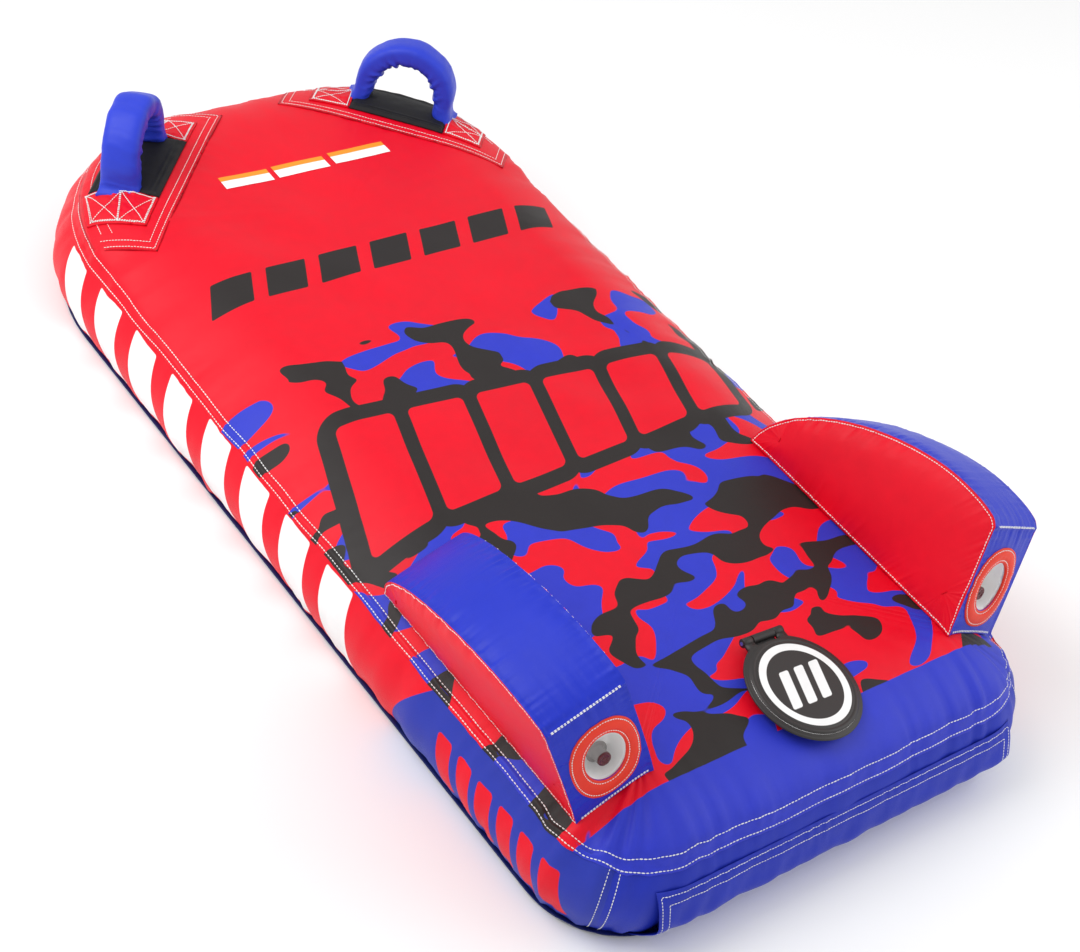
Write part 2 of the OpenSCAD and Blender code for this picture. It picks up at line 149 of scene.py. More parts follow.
# %% [markdown]
# ## Shared effects
# Coated nylon has a fine plain weave under its coating, small differences of tone where it
# has been handled, and a paler, rougher line where it is folded over a seam. Those are three
# groups that every cloth uses with its own values. The weave follows the piece's own flat
# pattern, which each piece carries as a UV map in metres.

# %% Weave, handling and seam wear
TURN = 2 * math.pi
weave, given, out = shader_group(
    "plain_weave", [("Pattern", "NodeSocketVector", None), ("Threads", "NodeSocketFloat", 900.0)],
    [("Height", "NodeSocketFloat")])
axes = put(weave, "ShaderNodeSeparateXYZ", {0: given["Pattern"]}).outputs
warp, weft = (
    calc(weave, "SINE", calc(weave, "MULTIPLY", calc(weave, "MULTIPLY", axes[k], given["Threads"]), TURN))
    for k in (0, 1))
weave.links.new(calc(weave, "MULTIPLY_ADD", calc(weave, "MULTIPLY", warp, weft), 0.5, 0.5), out["Height"])

handling, given, out = shader_group(
    "handling", [("Place", "NodeSocketVector", None), ("Colour", "NodeSocketColor", (1, 1, 1, 1)),
                 ("Depth", "NodeSocketFloat", 0.12), ("Gloss", "NodeSocketFloat", 0.5)],
    [("Colour", "NodeSocketColor"), ("Roughness", "NodeSocketFloat"), ("Height", "NodeSocketFloat")])
broad = put(handling, "ShaderNodeTexNoise", {"Vector": given["Place"], "Scale": 7.0, "Detail": 3.0})
fine = put(handling, "ShaderNodeTexNoise", {"Vector": given["Place"], "Scale": 55.0, "Detail": 4.0})
tone = calc(handling, "ADD", calc(handling, "MULTIPLY", broad.outputs[0], 0.6),
            calc(handling, "MULTIPLY", fine.outputs[0], 0.4))
darker = put(handling, "ShaderNodeHueSaturation",
             {"Color": given["Colour"], "Value": calc(handling, "SUBTRACT", 1.0, given["Depth"])})
handling.links.new(mixed(handling, soft_edge(handling, tone, 0.35, 0.65), darker.outputs[0], given["Colour"]),
                   out["Colour"])
handling.links.new(calc(handling, "MULTIPLY_ADD", calc(handling, "SUBTRACT", tone, 0.5), 0.3, given["Gloss"]),
                   out["Roughness"])
handling.links.new(tone, out["Height"])

seam_wear, given, out = shader_group(
    "seam_wear", [("Colour", "NodeSocketColor", (1, 1, 1, 1)), ("Rim", "NodeSocketFloat", 0.0),
                  ("Place", "NodeSocketVector", None), ("Amount", "NodeSocketFloat", 0.25)],
    [("Colour", "NodeSocketColor")])
breaks = put(seam_wear, "ShaderNodeTexNoise", {"Vector": given["Place"], "Scale": 90.0, "Detail": 3.0})
worn = calc(seam_wear, "MULTIPLY", calc(seam_wear, "MULTIPLY", given["Rim"], given["Amount"]),
            soft_edge(seam_wear, breaks.outputs[0], 0.42, 0.62))
shade = put(seam_wear, "ShaderNodeHueSaturation", {"Color": given["Colour"], "Value": 0.62})
seam_wear.links.new(mixed(seam_wear, worn, given["Colour"], shade.outputs[0]), out["Colour"])
print("shader groups:", ", ".join(sorted(g.name for g in bpy.data.node_groups)))

# %% [markdown]
# ## Cloths and other finishes
# Every cloth is one recipe: its dye, the handling and wear groups over it, and the weave as a
# very shallow bump. The dye is a plain colour or a print, which is a small function that draws
# in the tree. Moulded and metal parts share a second, simpler recipe.

# %% Recipes for cloth and for moulded parts
def blank(name):
    material = bpy.data.materials.new(name)
    material.use_nodes = True
    tree = material.node_tree
    return material, tree, tree.nodes["Principled BSDF"]


def cloth(name, dye, gloss=0.46, depth=0.10, threads=900.0, weave_depth=0.00012):
    """Coated nylon; dye is a colour, or a function of the tree and the place that draws a print."""
    material, tree, shader = blank(name)
    where = put(tree, "ShaderNodeTexCoord").outputs
    rim = put(tree, "ShaderNodeAttribute", attribute_name="rim").outputs["Fac"]
    colour = dye(tree, where["Object"]) if callable(dye) else dye
    worn = use(tree, seam_wear, {"Colour": colour, "Rim": rim, "Place": where["Object"]})
    used = use(tree, handling, {"Place": where["Object"], "Colour": worn["Colour"], "Depth": depth,
                                "Gloss": gloss})
    grain = use(tree, weave, {"Pattern": where["UV"], "Threads": threads})
    bump = put(tree, "ShaderNodeBump", {"Height": grain["Height"], "Distance": weave_depth, "Strength": 0.6})
    crumple = put(tree, "ShaderNodeBump", {"Height": used["Height"], "Distance": 0.0016,
                                           "Strength": 0.5, "Normal": bump.outputs[0]})
    tree.links.new(used["Colour"], shader.inputs["Base Color"])
    tree.links.new(used["Roughness"], shader.inputs["Roughness"])
    tree.links.new(crumple.outputs[0], shader.inputs["Normal"])
    shader.inputs["Specular IOR Level"].default_value = 0.24
    return material


def moulded(name, colour, gloss=0.4, depth=0.15, grain=0.0003, metal=0.0, clear=0.0, glow=0.0):
    """Rubber, plastic or metal with handling marks and a faint moulded or cast grain."""
    material, tree, shader = blank(name)
    place = put(tree, "ShaderNodeTexCoord").outputs["Object"]
    dye = colour(tree) if callable(colour) else colour
    used = use(tree, handling, {"Place": place, "Colour": dye, "Depth": depth, "Gloss": gloss})
    speckle = put(tree, "ShaderNodeTexNoise", {"Vector": place, "Scale": 900.0, "Detail": 2.0})
    bump = put(tree, "ShaderNodeBump", {"Height": speckle.outputs[0], "Distance": grain, "Strength": 0.35})
    tree.links.new(used["Colour"], shader.inputs["Base Color"])
    tree.links.new(used["Roughness"], shader.inputs["Roughness"])
    tree.links.new(bump.outputs[0], shader.inputs["Normal"])
    shader.inputs["Metallic"].default_value = metal
    shader.inputs["Transmission Weight"].default_value = clear
    shader.inputs["Subsurface Weight"].default_value = glow
    shader.inputs["Subsurface Radius"].default_value = (0.02, 0.02, 0.02)
    return material


# %% [markdown]
# ## Prints
# The cover is printed before it is sewn. The deck has a red front, a camouflage band and a
# blue rear; the walls have a blue rear quarter. The rows of slanted bars are plain filler
# graphics. One group draws a row of bars with round corners, and another the camouflage.

# %% Bars and camouflage
RED = rgb(232, 0, 34)
BLUE = rgb(46, 58, 196)
NAVY = rgb(24, 34, 98)
INK = rgb(42, 37, 36)
WHITE = rgb(246, 246, 246)

bar_row, given, out = shader_group(
    "bar_row",
    [(label, "NodeSocketFloat", value) for label, value in (
        ("Along", 0.0), ("Across", 0.0), ("Start", -0.3), ("Length", 0.6), ("Bars", 8.0), ("Fill", 0.6),
        ("Height", 0.05), ("Slant", 0.4), ("Grow", 0.0), ("Round", 0.006))],
    [("Mask", "NodeSocketFloat")])
run = calc(bar_row, "SUBTRACT", calc(bar_row, "SUBTRACT", given["Along"], given["Start"]),
           calc(bar_row, "MULTIPLY", given["Across"], given["Slant"]))
pitch = calc(bar_row, "DIVIDE", given["Length"], given["Bars"])
number = calc(bar_row, "FLOOR", calc(bar_row, "DIVIDE", run, pitch))
number = calc(bar_row, "MINIMUM", calc(bar_row, "MAXIMUM", number, 0.0),
              calc(bar_row, "SUBTRACT", given["Bars"], 1.0))
from_middle = calc(bar_row, "ABSOLUTE", calc(bar_row, "SUBTRACT", run, calc(
    bar_row, "MULTIPLY", calc(bar_row, "ADD", number, 0.5), pitch)))
half_bar = calc(bar_row, "MULTIPLY", calc(bar_row, "MULTIPLY", pitch, given["Fill"]), 0.5)
sides = []
for distance, half in ((from_middle, half_bar),
                       (calc(bar_row, "ABSOLUTE", given["Across"]),
                        calc(bar_row, "MULTIPLY", given["Height"], 0.5))):
    past = calc(bar_row, "ADD", calc(bar_row, "SUBTRACT", distance, half), given["Round"])
    sides.append(calc(bar_row, "MAXIMUM", past, 0.0))
reach = calc(bar_row, "SQRT", calc(bar_row, "ADD", calc(bar_row, "POWER", sides[0], 2.0),
                                   calc(bar_row, "POWER", sides[1], 2.0)))
reach = calc(bar_row, "SUBTRACT", calc(bar_row, "SUBTRACT", reach, given["Round"]), given["Grow"])
bar_row.links.new(calc(bar_row, "SUBTRACT", 1.0, soft_edge(bar_row, reach, -0.0004, 0.0004)), out["Mask"])

camouflage, given, out = shader_group(
    "camouflage", [("Place", "NodeSocketVector", None), ("Fade", "NodeSocketFloat", 0.0)],
    [("Blue", "NodeSocketFloat"), ("Black", "NodeSocketFloat")])
for label, offset, turn, scale, limit in (
        ("Blue", (3.1, 1.7, 0.0), 0.5, (8.4, 12.5, 1.0), 0.532),
        ("Black", (8.3, 5.2, 0.0), 0.5, (10.5, 15.5, 1.0), 0.575)):
    flat = put(camouflage, "ShaderNodeMapping",
               {"Vector": given["Place"], "Location": offset, "Rotation": (0, 0, turn), "Scale": scale})
    level_ground = put(camouflage, "ShaderNodeVectorMath",
                       {0: flat.outputs[0], 1: (1.0, 1.0, 0.0)}, operation="MULTIPLY")
    blobs = put(camouflage, "ShaderNodeTexNoise", {"Vector": level_ground.outputs[0], "Scale": 1.0,
                                                   "Detail": 0.6, "Roughness": 0.4, "Distortion": 0.7})
    high = calc(camouflage, "SUBTRACT", blobs.outputs[0], given["Fade"])
    camouflage.links.new(soft_edge(camouflage, high, limit, limit + 0.004), out[label])


# %% [markdown]
# The deck and the walls carry their own prints. They could be painted images, but bars and
# blobs that follow rules are drawn by nodes, in the board's own metres, so they stay sharp at
# any distance and need no file.

# %% The printed panels
REAR_BAND_Y = -0.66         # the camouflage ends here and the blue band begins
CAMO_FRONT_Y = 0.13         # the camouflage thins out here


def deck_print(tree, place):
    x, y = put(tree, "ShaderNodeSeparateXYZ", {0: place}).outputs[:2]
    fade = calc(tree, "MULTIPLY", soft_edge(tree, y, CAMO_FRONT_Y - 0.02, CAMO_FRONT_Y + 0.05), 0.4)
    camo = use(tree, camouflage, {"Place": place, "Fade": fade})
    colour = mixed(tree, camo["Blue"], RED, BLUE)
    colour = mixed(tree, camo["Black"], colour, INK)
    # the tall bars across the camouflage get smaller to the right and have a black surround
    middle = calc(tree, "MULTIPLY_ADD", x, -0.02, -0.098)
    height = calc(tree, "MULTIPLY_ADD", x, -0.14, 0.158)
    across = calc(tree, "SUBTRACT", y, middle)
    tall = {"Along": x, "Across": across, "Start": -0.315, "Length": 0.65, "Bars": 6.0, "Fill": 0.80,
            "Height": height, "Slant": 0.32, "Round": 0.010}
    colour = mixed(tree, use(tree, bar_row, {**tall, "Grow": 0.026})["Mask"], colour, INK)
    colour = mixed(tree, use(tree, bar_row, tall)["Mask"], colour, RED)
    low = {"Along": x, "Across": calc(tree, "SUBTRACT", y, 0.292), "Start": -0.30, "Length": 0.61, "Bars": 7.0,
           "Fill": 0.74, "Height": 0.056, "Slant": 0.5, "Round": 0.003}
    colour = mixed(tree, use(tree, bar_row, low)["Mask"], colour, INK)
    return mixed(tree, soft_edge(tree, y, REAR_BAND_Y - 0.0004, REAR_BAND_Y + 0.0004), BLUE, colour)


def wall_print(tree, place):
    y, z = put(tree, "ShaderNodeSeparateXYZ", {0: place}).outputs[1:3]
    arc = calc(tree, "POWER", calc(tree, "DIVIDE", z, 0.11), 2.0)
    edge = calc(tree, "ADD", calc(tree, "MULTIPLY_ADD", arc, 0.045, 0.335), y)
    colour = mixed(tree, soft_edge(tree, edge, -0.0005, 0.0005), rgb(40, 56, 170), RED)
    wide = {"Along": calc(tree, "MULTIPLY", y, -1.0), "Across": calc(tree, "SUBTRACT", z, 0.066),
            "Start": -0.53, "Length": 0.78, "Bars": 8.0, "Fill": 0.6,
            "Height": 0.098, "Slant": -0.42, "Round": 0.003}
    colour = mixed(tree, use(tree, bar_row, wide)["Mask"], colour, WHITE)
    small = {**wide, "Across": calc(tree, "SUBTRACT", z, 0.058), "Start": 0.43, "Length": 0.25, "Bars": 6.0,
             "Fill": 0.66, "Height": 0.07, "Slant": -0.3, "Round": 0.005}
    return mixed(tree, use(tree, bar_row, small)["Mask"], colour, RED)


deck_cloth = cloth("printed_deck_cloth", deck_print)
wall_cloth = cloth("printed_wall_cloth", wall_print)
red_cloth = cloth("red_cloth", RED)
blue_cloth = cloth("blue_cloth", rgb(46, 66, 205), gloss=0.42)
# painted shade: a darker copy of the blue cloth, for the upright rear wall and its flap
rear_blue_painted_shade = cloth("rear_blue_cloth_painted_shade", rgb(30, 48, 176))
navy_cloth = cloth("navy_cloth", NAVY)
trim_cloth = cloth("port_trim_cloth", rgb(238, 62, 40), gloss=0.5, threads=700.0)
black_pad = cloth("black_pad_cloth", rgb(30, 29, 30), gloss=0.6, threads=500.0, weave_depth=0.0003)
webbing = cloth("black_webbing", rgb(28, 28, 30), gloss=0.65, threads=420.0, weave_depth=0.0006)
thread = cloth("white_thread", rgb(240, 240, 238), gloss=0.5, threads=2500.0)
white_vinyl = moulded("white_vinyl", rgb(250, 250, 249), gloss=0.3, depth=0.03, glow=0.35)
clear_vinyl = moulded("clear_vinyl", rgb(225, 222, 220), gloss=0.16, clear=0.6)
plug_vinyl = moulded("dark_red_vinyl", rgb(110, 30, 46), gloss=0.14, clear=0.35)
black_rubber = moulded("black_rubber", rgb(38, 36, 36), gloss=0.55, depth=0.25)
valve_plastic = moulded("grey_valve_plastic", rgb(120, 122, 124), gloss=0.4)
silicone = moulded("check_flap_silicone", rgb(190, 190, 186), gloss=0.3)
steel = moulded("satin_steel", rgb(190, 192, 196), gloss=0.3, metal=1.0)
brass = moulded("satin_brass", rgb(206, 170, 96), gloss=0.34, metal=1.0)
zip_plastic = moulded("zip_plastic", rgb(26, 26, 28), gloss=0.35)
link_plastic = moulded("link_plastic", rgb(30, 30, 31), gloss=0.5, grain=0.0006)
grip_foam = moulded("grip_foam", rgb(60, 60, 62), gloss=0.8, grain=0.001)
print(len(bpy.data.materials), "materials")

# %% [markdown]
# ## Making meshes from grids
# Almost every piece here is a grid of points: rows one way, columns the other. The grid also
# carries the flat pattern as a UV map in metres and a rim value that is 1 at a sewn edge.
# Closed grids wrap round. Small random shapes come from sums of a few waves with a fixed seed.

# %% Grid helpers
def shown(name, mesh, material):
    mesh.materials.append(material)
    mesh.shade_smooth()
    obj = bpy.data.objects.new(name, mesh)
    bpy.context.collection.objects.link(obj)
    return obj


def lattice(name, points, material, wrap=False, pattern=None, rim=None, flip=False):
    """A mesh from points[row, column]; wrap joins the last column to the first."""
    points = np.asarray(points, float)
    rows, cols = points.shape[:2]
    wide = cols if wrap else cols - 1
    r, c = (g.ravel() for g in np.meshgrid(np.arange(rows - 1), np.arange(wide), indexing="ij"))
    after = c + 1
    corners = [(r, c), (r, after), (r + 1, after), (r + 1, c)]
    if flip:
        corners.reverse()
    faces = np.stack([a * cols + b % cols for a, b in corners], 1)
    mesh = bpy.data.meshes.new(name)
    mesh.from_pydata(points.reshape(-1, 3).tolist(), [], faces.tolist())
    if pattern is None:
        steps = np.linalg.norm(np.diff(points, axis=1, append=points[:, :1]), axis=2)
        around = np.concatenate([[0], np.cumsum(steps.mean(0))])[:cols + 1]
        down = np.concatenate([[0], np.cumsum(np.linalg.norm(np.diff(points, axis=0), axis=2).mean(1))])
        pattern = np.stack(np.meshgrid(around, down), -1)
    width = pattern.shape[1]
    corner_uv = np.stack([pattern[a, np.minimum(b, width - 1)] for a, b in corners], 1)
    mesh.uv_layers.new(name="flat_pattern").data.foreach_set("uv", corner_uv.reshape(-1))
    if rim is not None:
        values = np.broadcast_to(rim, (rows, cols)).astype(np.float32).ravel()
        mesh.attributes.new("rim", "FLOAT", "POINT").data.foreach_set("value", values)
    return shown(name, mesh, material)


def weld(obj, within=1e-5):
    """Merges coincident points and drops the faces that collapse."""
    work = bmesh.new()
    work.from_mesh(obj.data)
    bmesh.ops.remove_doubles(work, verts=work.verts, dist=within)
    bmesh.ops.dissolve_degenerate(work, edges=work.edges, dist=within / 10)
    work.to_mesh(obj.data)
    work.free()
    return obj


def outwards(obj):
    """Turns every face of a closed piece outwards."""
    work = bmesh.new()
    work.from_mesh(obj.data)
    bmesh.ops.recalc_face_normals(work, faces=work.faces)
    work.to_mesh(obj.data)
    work.free()
    return obj


def normals_of(points, wrap=False):
    """Unit normals of a grid: column direction crossed with row direction."""
    if wrap:
        across = np.roll(points, -1, 1) - np.roll(points, 1, 1)
    else:
        across = np.gradient(points, axis=1)
    n = np.cross(across, np.gradient(points, axis=0))
    return n / np.maximum(np.linalg.norm(n, axis=2, keepdims=True), 1e-12)


def waves(where, seed, shortest, longest, count=16, loop=None):
    """Random waves of about unit size along where; loop makes them close over that length."""
    rng = np.random.default_rng(seed)
    lengths = np.exp(rng.uniform(math.log(shortest), math.log(longest), count))
    if loop:
        lengths = loop / np.round(loop / lengths)
    phases = rng.uniform(0, TURN, count)
    return sum(np.sin(TURN * where / w + p) for w, p in zip(lengths, phases)) * math.sqrt(2 / count) / 1.4


def ramp(value, low, high):
    share = np.clip((value - low) / (high - low), 0, 1)
    return share * share * (3 - 2 * share)


def place(obj, body, slot, *nodes):
    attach(obj, body)
    if nodes:
        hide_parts(*nodes)
    print(f"{obj.name}: {len(obj.data.polygons)} faces on {body}")
    return obj


def cut_cloth(obj):
    """Reads the UV map of a sheet's flat pattern into an array that is not used."""
    uv = np.empty(len(obj.data.loops) * 2)
    obj.data.uv_layers[0].data.foreach_get("uv", uv)
    return obj


def thicken(obj, thickness):
    """Gives a sheet its thickness, on the inner side."""
    solid = obj.modifiers.new("thickness", "SOLIDIFY")
    solid.thickness, solid.offset = thickness, -1
    return obj


# %% [markdown]
# ## The board's own shape
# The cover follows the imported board: a plan outline with large nose corners and small rear
# corners, walls that bulge between the two seams, and a rounded border that climbs from the
# seam to the flat deck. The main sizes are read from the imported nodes.

# %% Board sizes and surface
HALF_W, HALF_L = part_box("bottom_panel")[1].x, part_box("bottom_panel")[1].y
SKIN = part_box("bottom_panel")[1].z
DECK_Z, SEAM_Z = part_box("top_panel")[1].z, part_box("side_panel_left")[1].z
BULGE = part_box("side_panel_right")[1].x - HALF_W
NOSE_R, REAR_R, CROWN_W, SIDE_POWER = 0.275, 0.113, 0.130, 1.6


def inset_of(x, y):
    """Distance inside the seam line."""
    radius = np.where(y > 0, NOSE_R, REAR_R)
    qx, qy = np.abs(x) - HALF_W + radius, np.abs(y) - HALF_L + radius
    corner = (qx > 0) & (qy > 0)
    return radius - np.where(corner, np.hypot(qx, qy), np.maximum(qx, qy))


def deck_height(x, y):
    u = 1 - np.clip(inset_of(x, y), 0, CROWN_W) / CROWN_W
    qx, qy = np.abs(x) - HALF_W + CROWN_W, -y - HALF_L + CROWN_W
    turn = np.where(qy <= 0, 0, np.where(qx <= 0, 1, qy / np.maximum(np.hypot(qx, qy), 1e-9)))
    full = np.maximum(ramp(y, 0.2, 0.6), ramp(turn, 0.5, 1.0))
    rise = full * np.sqrt(1 - u * u) + (1 - full) * (1 - u ** SIDE_POWER)
    return SEAM_Z + (DECK_Z - SEAM_Z) * rise


def wall_out(z):
    """How far the wall stands outside the seam line at a height."""
    t = np.clip(2 * (z - SKIN) / (SEAM_Z - SKIN) - 1, -1, 1)
    return BULGE * (1 - t * t)


print(f"board {2 * HALF_W:.3f} x {2 * HALF_L:.3f} m at the seam, deck at {DECK_Z:.3f} m")

# %% [markdown]
# The seam line is sampled every few millimetres, with its outward direction, starting in the
# middle of the right rear corner. The four wall panels are then slices of the same columns,
# and the deck uses them all, so neighbouring panels meet point for point.

# %% Columns round the seam
STEP = 0.0062
seam_points, seam_out = [], []
panel_ends = {}


def add_arc(cx, cy, radius, start, sweep):
    n = round(radius * sweep / STEP)
    for k in range(n):
        a = start + sweep * k / n
        seam_out.append((math.cos(a), math.sin(a)))
        seam_points.append((cx + radius * math.cos(a), cy + radius * math.sin(a)))


def add_straight(x0, y0, x1, y1, facing):
    n = round(math.hypot(x1 - x0, y1 - y0) / STEP)
    for k in range(n):
        seam_out.append(facing)
        seam_points.append((x0 + (x1 - x0) * k / n, y0 + (y1 - y0) * k / n))


rear_cx, rear_cy, nose_cx, nose_cy = HALF_W - REAR_R, REAR_R - HALF_L, HALF_W - NOSE_R, HALF_L - NOSE_R
QUARTER = math.pi / 2
add_arc(rear_cx, rear_cy, REAR_R, -QUARTER / 2, QUARTER / 2)
add_straight(HALF_W, rear_cy, HALF_W, nose_cy, (1, 0))
add_arc(nose_cx, nose_cy, NOSE_R, 0, QUARTER)
panel_ends["right"] = (0, len(seam_points))
add_straight(nose_cx, HALF_L, -nose_cx, HALF_L, (0, 1))
panel_ends["nose"] = (panel_ends["right"][1], len(seam_points))
add_arc(-nose_cx, nose_cy, NOSE_R, QUARTER, QUARTER)
add_straight(-HALF_W, nose_cy, -HALF_W, rear_cy, (-1, 0))
add_arc(-rear_cx, rear_cy, REAR_R, 2 * QUARTER, QUARTER / 2)
panel_ends["left"] = (panel_ends["nose"][1], len(seam_points))
add_arc(-rear_cx, rear_cy, REAR_R, 2.5 * QUARTER, QUARTER / 2)
add_straight(-rear_cx, -HALF_L, rear_cx, -HALF_L, (0, -1))
add_arc(rear_cx, rear_cy, REAR_R, 3 * QUARTER, QUARTER / 2)
panel_ends["rear"] = (panel_ends["left"][1], len(seam_points))
seam_points, seam_out = np.array(seam_points), np.array(seam_out)
seam_steps = np.linalg.norm(np.roll(seam_points, -1, 0) - seam_points, axis=1)
seam_run = np.concatenate([[0], np.cumsum(seam_steps)[:-1]])
SEAM_LENGTH = float(seam_steps.sum())
print(f"{len(seam_points)} columns round {SEAM_LENGTH:.3f} m of seam")

# %% [markdown]
# Sewing pulls the cloth along every seam. Next to the stitches it stands in short puckers at
# right angles to the seam, the seam itself wanders by a millimetre or two, and at the tight
# rear corners the spare cloth gathers in longer folds. One function gives those moves for the
# deck and the walls alike, so both sides of the seam stay together.

# %% Puckers and the wandering seam
rear_corner = np.exp(-((np.hypot(np.abs(seam_points[:, 0]) - HALF_W + 0.04,
                                 seam_points[:, 1] + HALF_L - 0.04)) / 0.13) ** 2)
nose_corner = ramp(seam_points[:, 1], nose_cy, HALF_L) * ramp(
    np.abs(seam_points[:, 0]), nose_cx, nose_cx + 0.06)
seam_wander_z = 0.0012 * waves(seam_run, 3, 0.09, 0.5, loop=SEAM_LENGTH)
seam_wander_out = 0.0010 * waves(seam_run, 4, 0.07, 0.4, loop=SEAM_LENGTH)
seam_wander_z += 0.0016 * rear_corner * waves(seam_run, 5, 0.03, 0.06, loop=SEAM_LENGTH)
REAR_BOW = 0.004
rear_bow = REAR_BOW * np.clip(1 - (seam_points[:, 0] / rear_cx) ** 2, 0, 1) * (seam_out[:, 1] < -0.99)


def pucker(distance, seed):
    """Puckers and gathers at a distance from the seam, as rows by columns, positive outwards."""
    d = np.abs(np.asarray(distance))[:, None]
    short = waves(seam_run, seed, 0.013, 0.034, loop=SEAM_LENGTH)
    patchy = 0.5 + 0.5 * np.clip(waves(seam_run, seed + 1, 0.1, 0.4, loop=SEAM_LENGTH), -1, 1)
    folds = waves(seam_run, seed + 2, 0.022, 0.05, loop=SEAM_LENGTH)
    folds = np.sign(folds) * np.abs(folds) ** 1.4
    long_folds = waves(seam_run, seed + 3, 0.05, 0.12, loop=SEAM_LENGTH)
    near = np.exp(-d / 0.016) * 0.0008 * short * (0.35 + patchy)
    gathers = np.exp(-d / 0.050) * (1 - np.exp(-d / 0.006)) * folds * (
        0.0006 * patchy + 0.0034 * rear_corner + 0.0012 * nose_corner)
    return near + gathers + np.exp(-d / 0.09) * 0.0009 * long_folds


def seam_shift(points, distance, reach):
    """Moves rows near the top seam with the wandering seam line."""
    fade = np.exp(-np.abs(np.asarray(distance))[:, None] / reach)
    points[..., :2] += seam_out * (fade * (seam_wander_out + rear_bow))[..., None]
    points[..., 2] += fade * seam_wander_z
    return points


# %% [markdown]
# ## Deck panel
# The deck is one printed panel. Its edge is folded over the top of the walls and sewn down
# with two rows of stitches, so the grid starts on the wall, turns over the seam, climbs the
# rounded border and ends on a spine down the middle, where left and right points are merged.
# A round opening under the valve is cut by dropping faces and pulling the edge to a circle.

# %% Deck grid
LAP = 0.008                 # how far the deck's edge is folded down over the wall
LAP_LIFT = 0.0011
STITCH_IN, STITCH_DOWN = 0.0032, 0.0052
lap_drop = np.array([LAP + 0.0004, LAP, STITCH_DOWN + 0.0015, STITCH_DOWN, STITCH_DOWN - 0.0015, 0.002, 0.0])
lap_lift = LAP_LIFT * np.array([-0.4, 1.0, 1.0, 0.5, 1.0, 1.0, 1.0])
crown_insets = np.array([0.0010, 0.0020, STITCH_IN, 0.0060, 0.0105, 0.0145, 0.019, 0.024, 0.030, 0.036,
                         0.042, 0.048, 0.055, 0.062, 0.070, 0.078, 0.087, 0.096])
SPINE_HALF = 0.40
spine = np.stack([np.zeros(len(seam_points)), np.clip(seam_points[:, 1], -SPINE_HALF, SPINE_HALF)], 1)
INNER_ROWS = 40
rows = []
for drop, lift in zip(lap_drop, lap_lift):
    xy = seam_points + seam_out * (wall_out(SEAM_Z - drop) + lift)
    rows.append(np.column_stack([xy, np.full(len(xy), SEAM_Z - drop + 0.4 * lift)]))
last_ring = seam_points - seam_out * crown_insets[-1]
for inset in crown_insets:
    xy = seam_points - seam_out * inset
    rows.append(np.column_stack([xy, deck_height(*xy.T)]))
for share in np.linspace(0, 1, INNER_ROWS + 1)[1:]:
    xy = last_ring * (1 - share) + spine * share
    rows.append(np.column_stack([xy, deck_height(*xy.T)]))
deck = np.array(rows)
distance = np.concatenate([-lap_drop, crown_insets,
                           crown_insets[-1] + np.linspace(0, 0.27, INNER_ROWS + 1)[1:]])
deck = seam_shift(deck, distance, 0.045)
facing = normals_of(deck, wrap=True)
groove = np.exp(-((distance - STITCH_IN) / 0.0016) ** 2) + 0.5 * np.exp(
    -((distance + STITCH_DOWN) / 0.0016) ** 2)
relief = pucker(distance, 20) * np.where(distance < 0, 0.5, 1)[:, None] - 0.0007 * groove[:, None]
soft_waves = 0.0011 * waves(deck[..., 0] + 0.6 * deck[..., 1], 31, 0.12, 0.5) * waves(
    deck[..., 1] - 0.4 * deck[..., 0], 32, 0.15, 0.6)
relief[-1] = 0
relief += soft_waves * ramp(distance, 0.02, 0.12)[:, None] * ramp(-distance, -0.36, -0.30)[:, None]
deck += facing * relief[..., None]
deck_facing = normals_of(deck, wrap=True)
flat = np.where((distance <= 0)[:, None, None], seam_points - distance[:, None, None] * seam_out, deck[..., :2])
pattern = np.concatenate([flat, flat[:, :1]], 1)
rim = np.exp(-np.abs(distance - STITCH_IN / 2) / 0.006)[:, None]
deck_cover = lattice("deck_cover", deck, deck_cloth, wrap=True, pattern=pattern, rim=rim)

# %% [markdown]
# The deck is cut open round the valve: faces inside the circle are dropped, and the points on
# the ragged edge are pulled onto the circle and set back on the surface. The bladder gets its
# opening from the same function, which leaves the under side of a closed skin alone.

# %% Opening for the valve
VALVE_Y = 0.105 - HALF_L
OPENING_R = 0.045


def round_opening(obj, radius, height):
    """Cuts a round opening about the valve in an upward-facing skin and evens its edge."""
    work = bmesh.new()
    work.from_mesh(obj.data)
    bmesh.ops.remove_doubles(work, verts=work.verts, dist=1e-5)

    def off(v):
        return math.hypot(v.co.x, v.co.y - VALVE_Y) if v.co.z > DECK_Z / 2 else 1.0
    bmesh.ops.delete(work, geom=[f for f in work.faces if min(off(v) for v in f.verts) < radius - 0.001],
                     context="FACES")
    for v in work.verts:
        if v.is_boundary and off(v) < radius + 0.03:
            pull = radius / off(v)
            v.co.x, v.co.y = v.co.x * pull, VALVE_Y + (v.co.y - VALVE_Y) * pull
            v.co.z = float(height(np.array(v.co.x), np.array(v.co.y)))
    work.to_mesh(obj.data)
    work.free()


round_opening(deck_cover, OPENING_R, deck_height)
place(deck_cover, "board", "red_cloth", "top_panel")
cut_cloth(deck_cover)
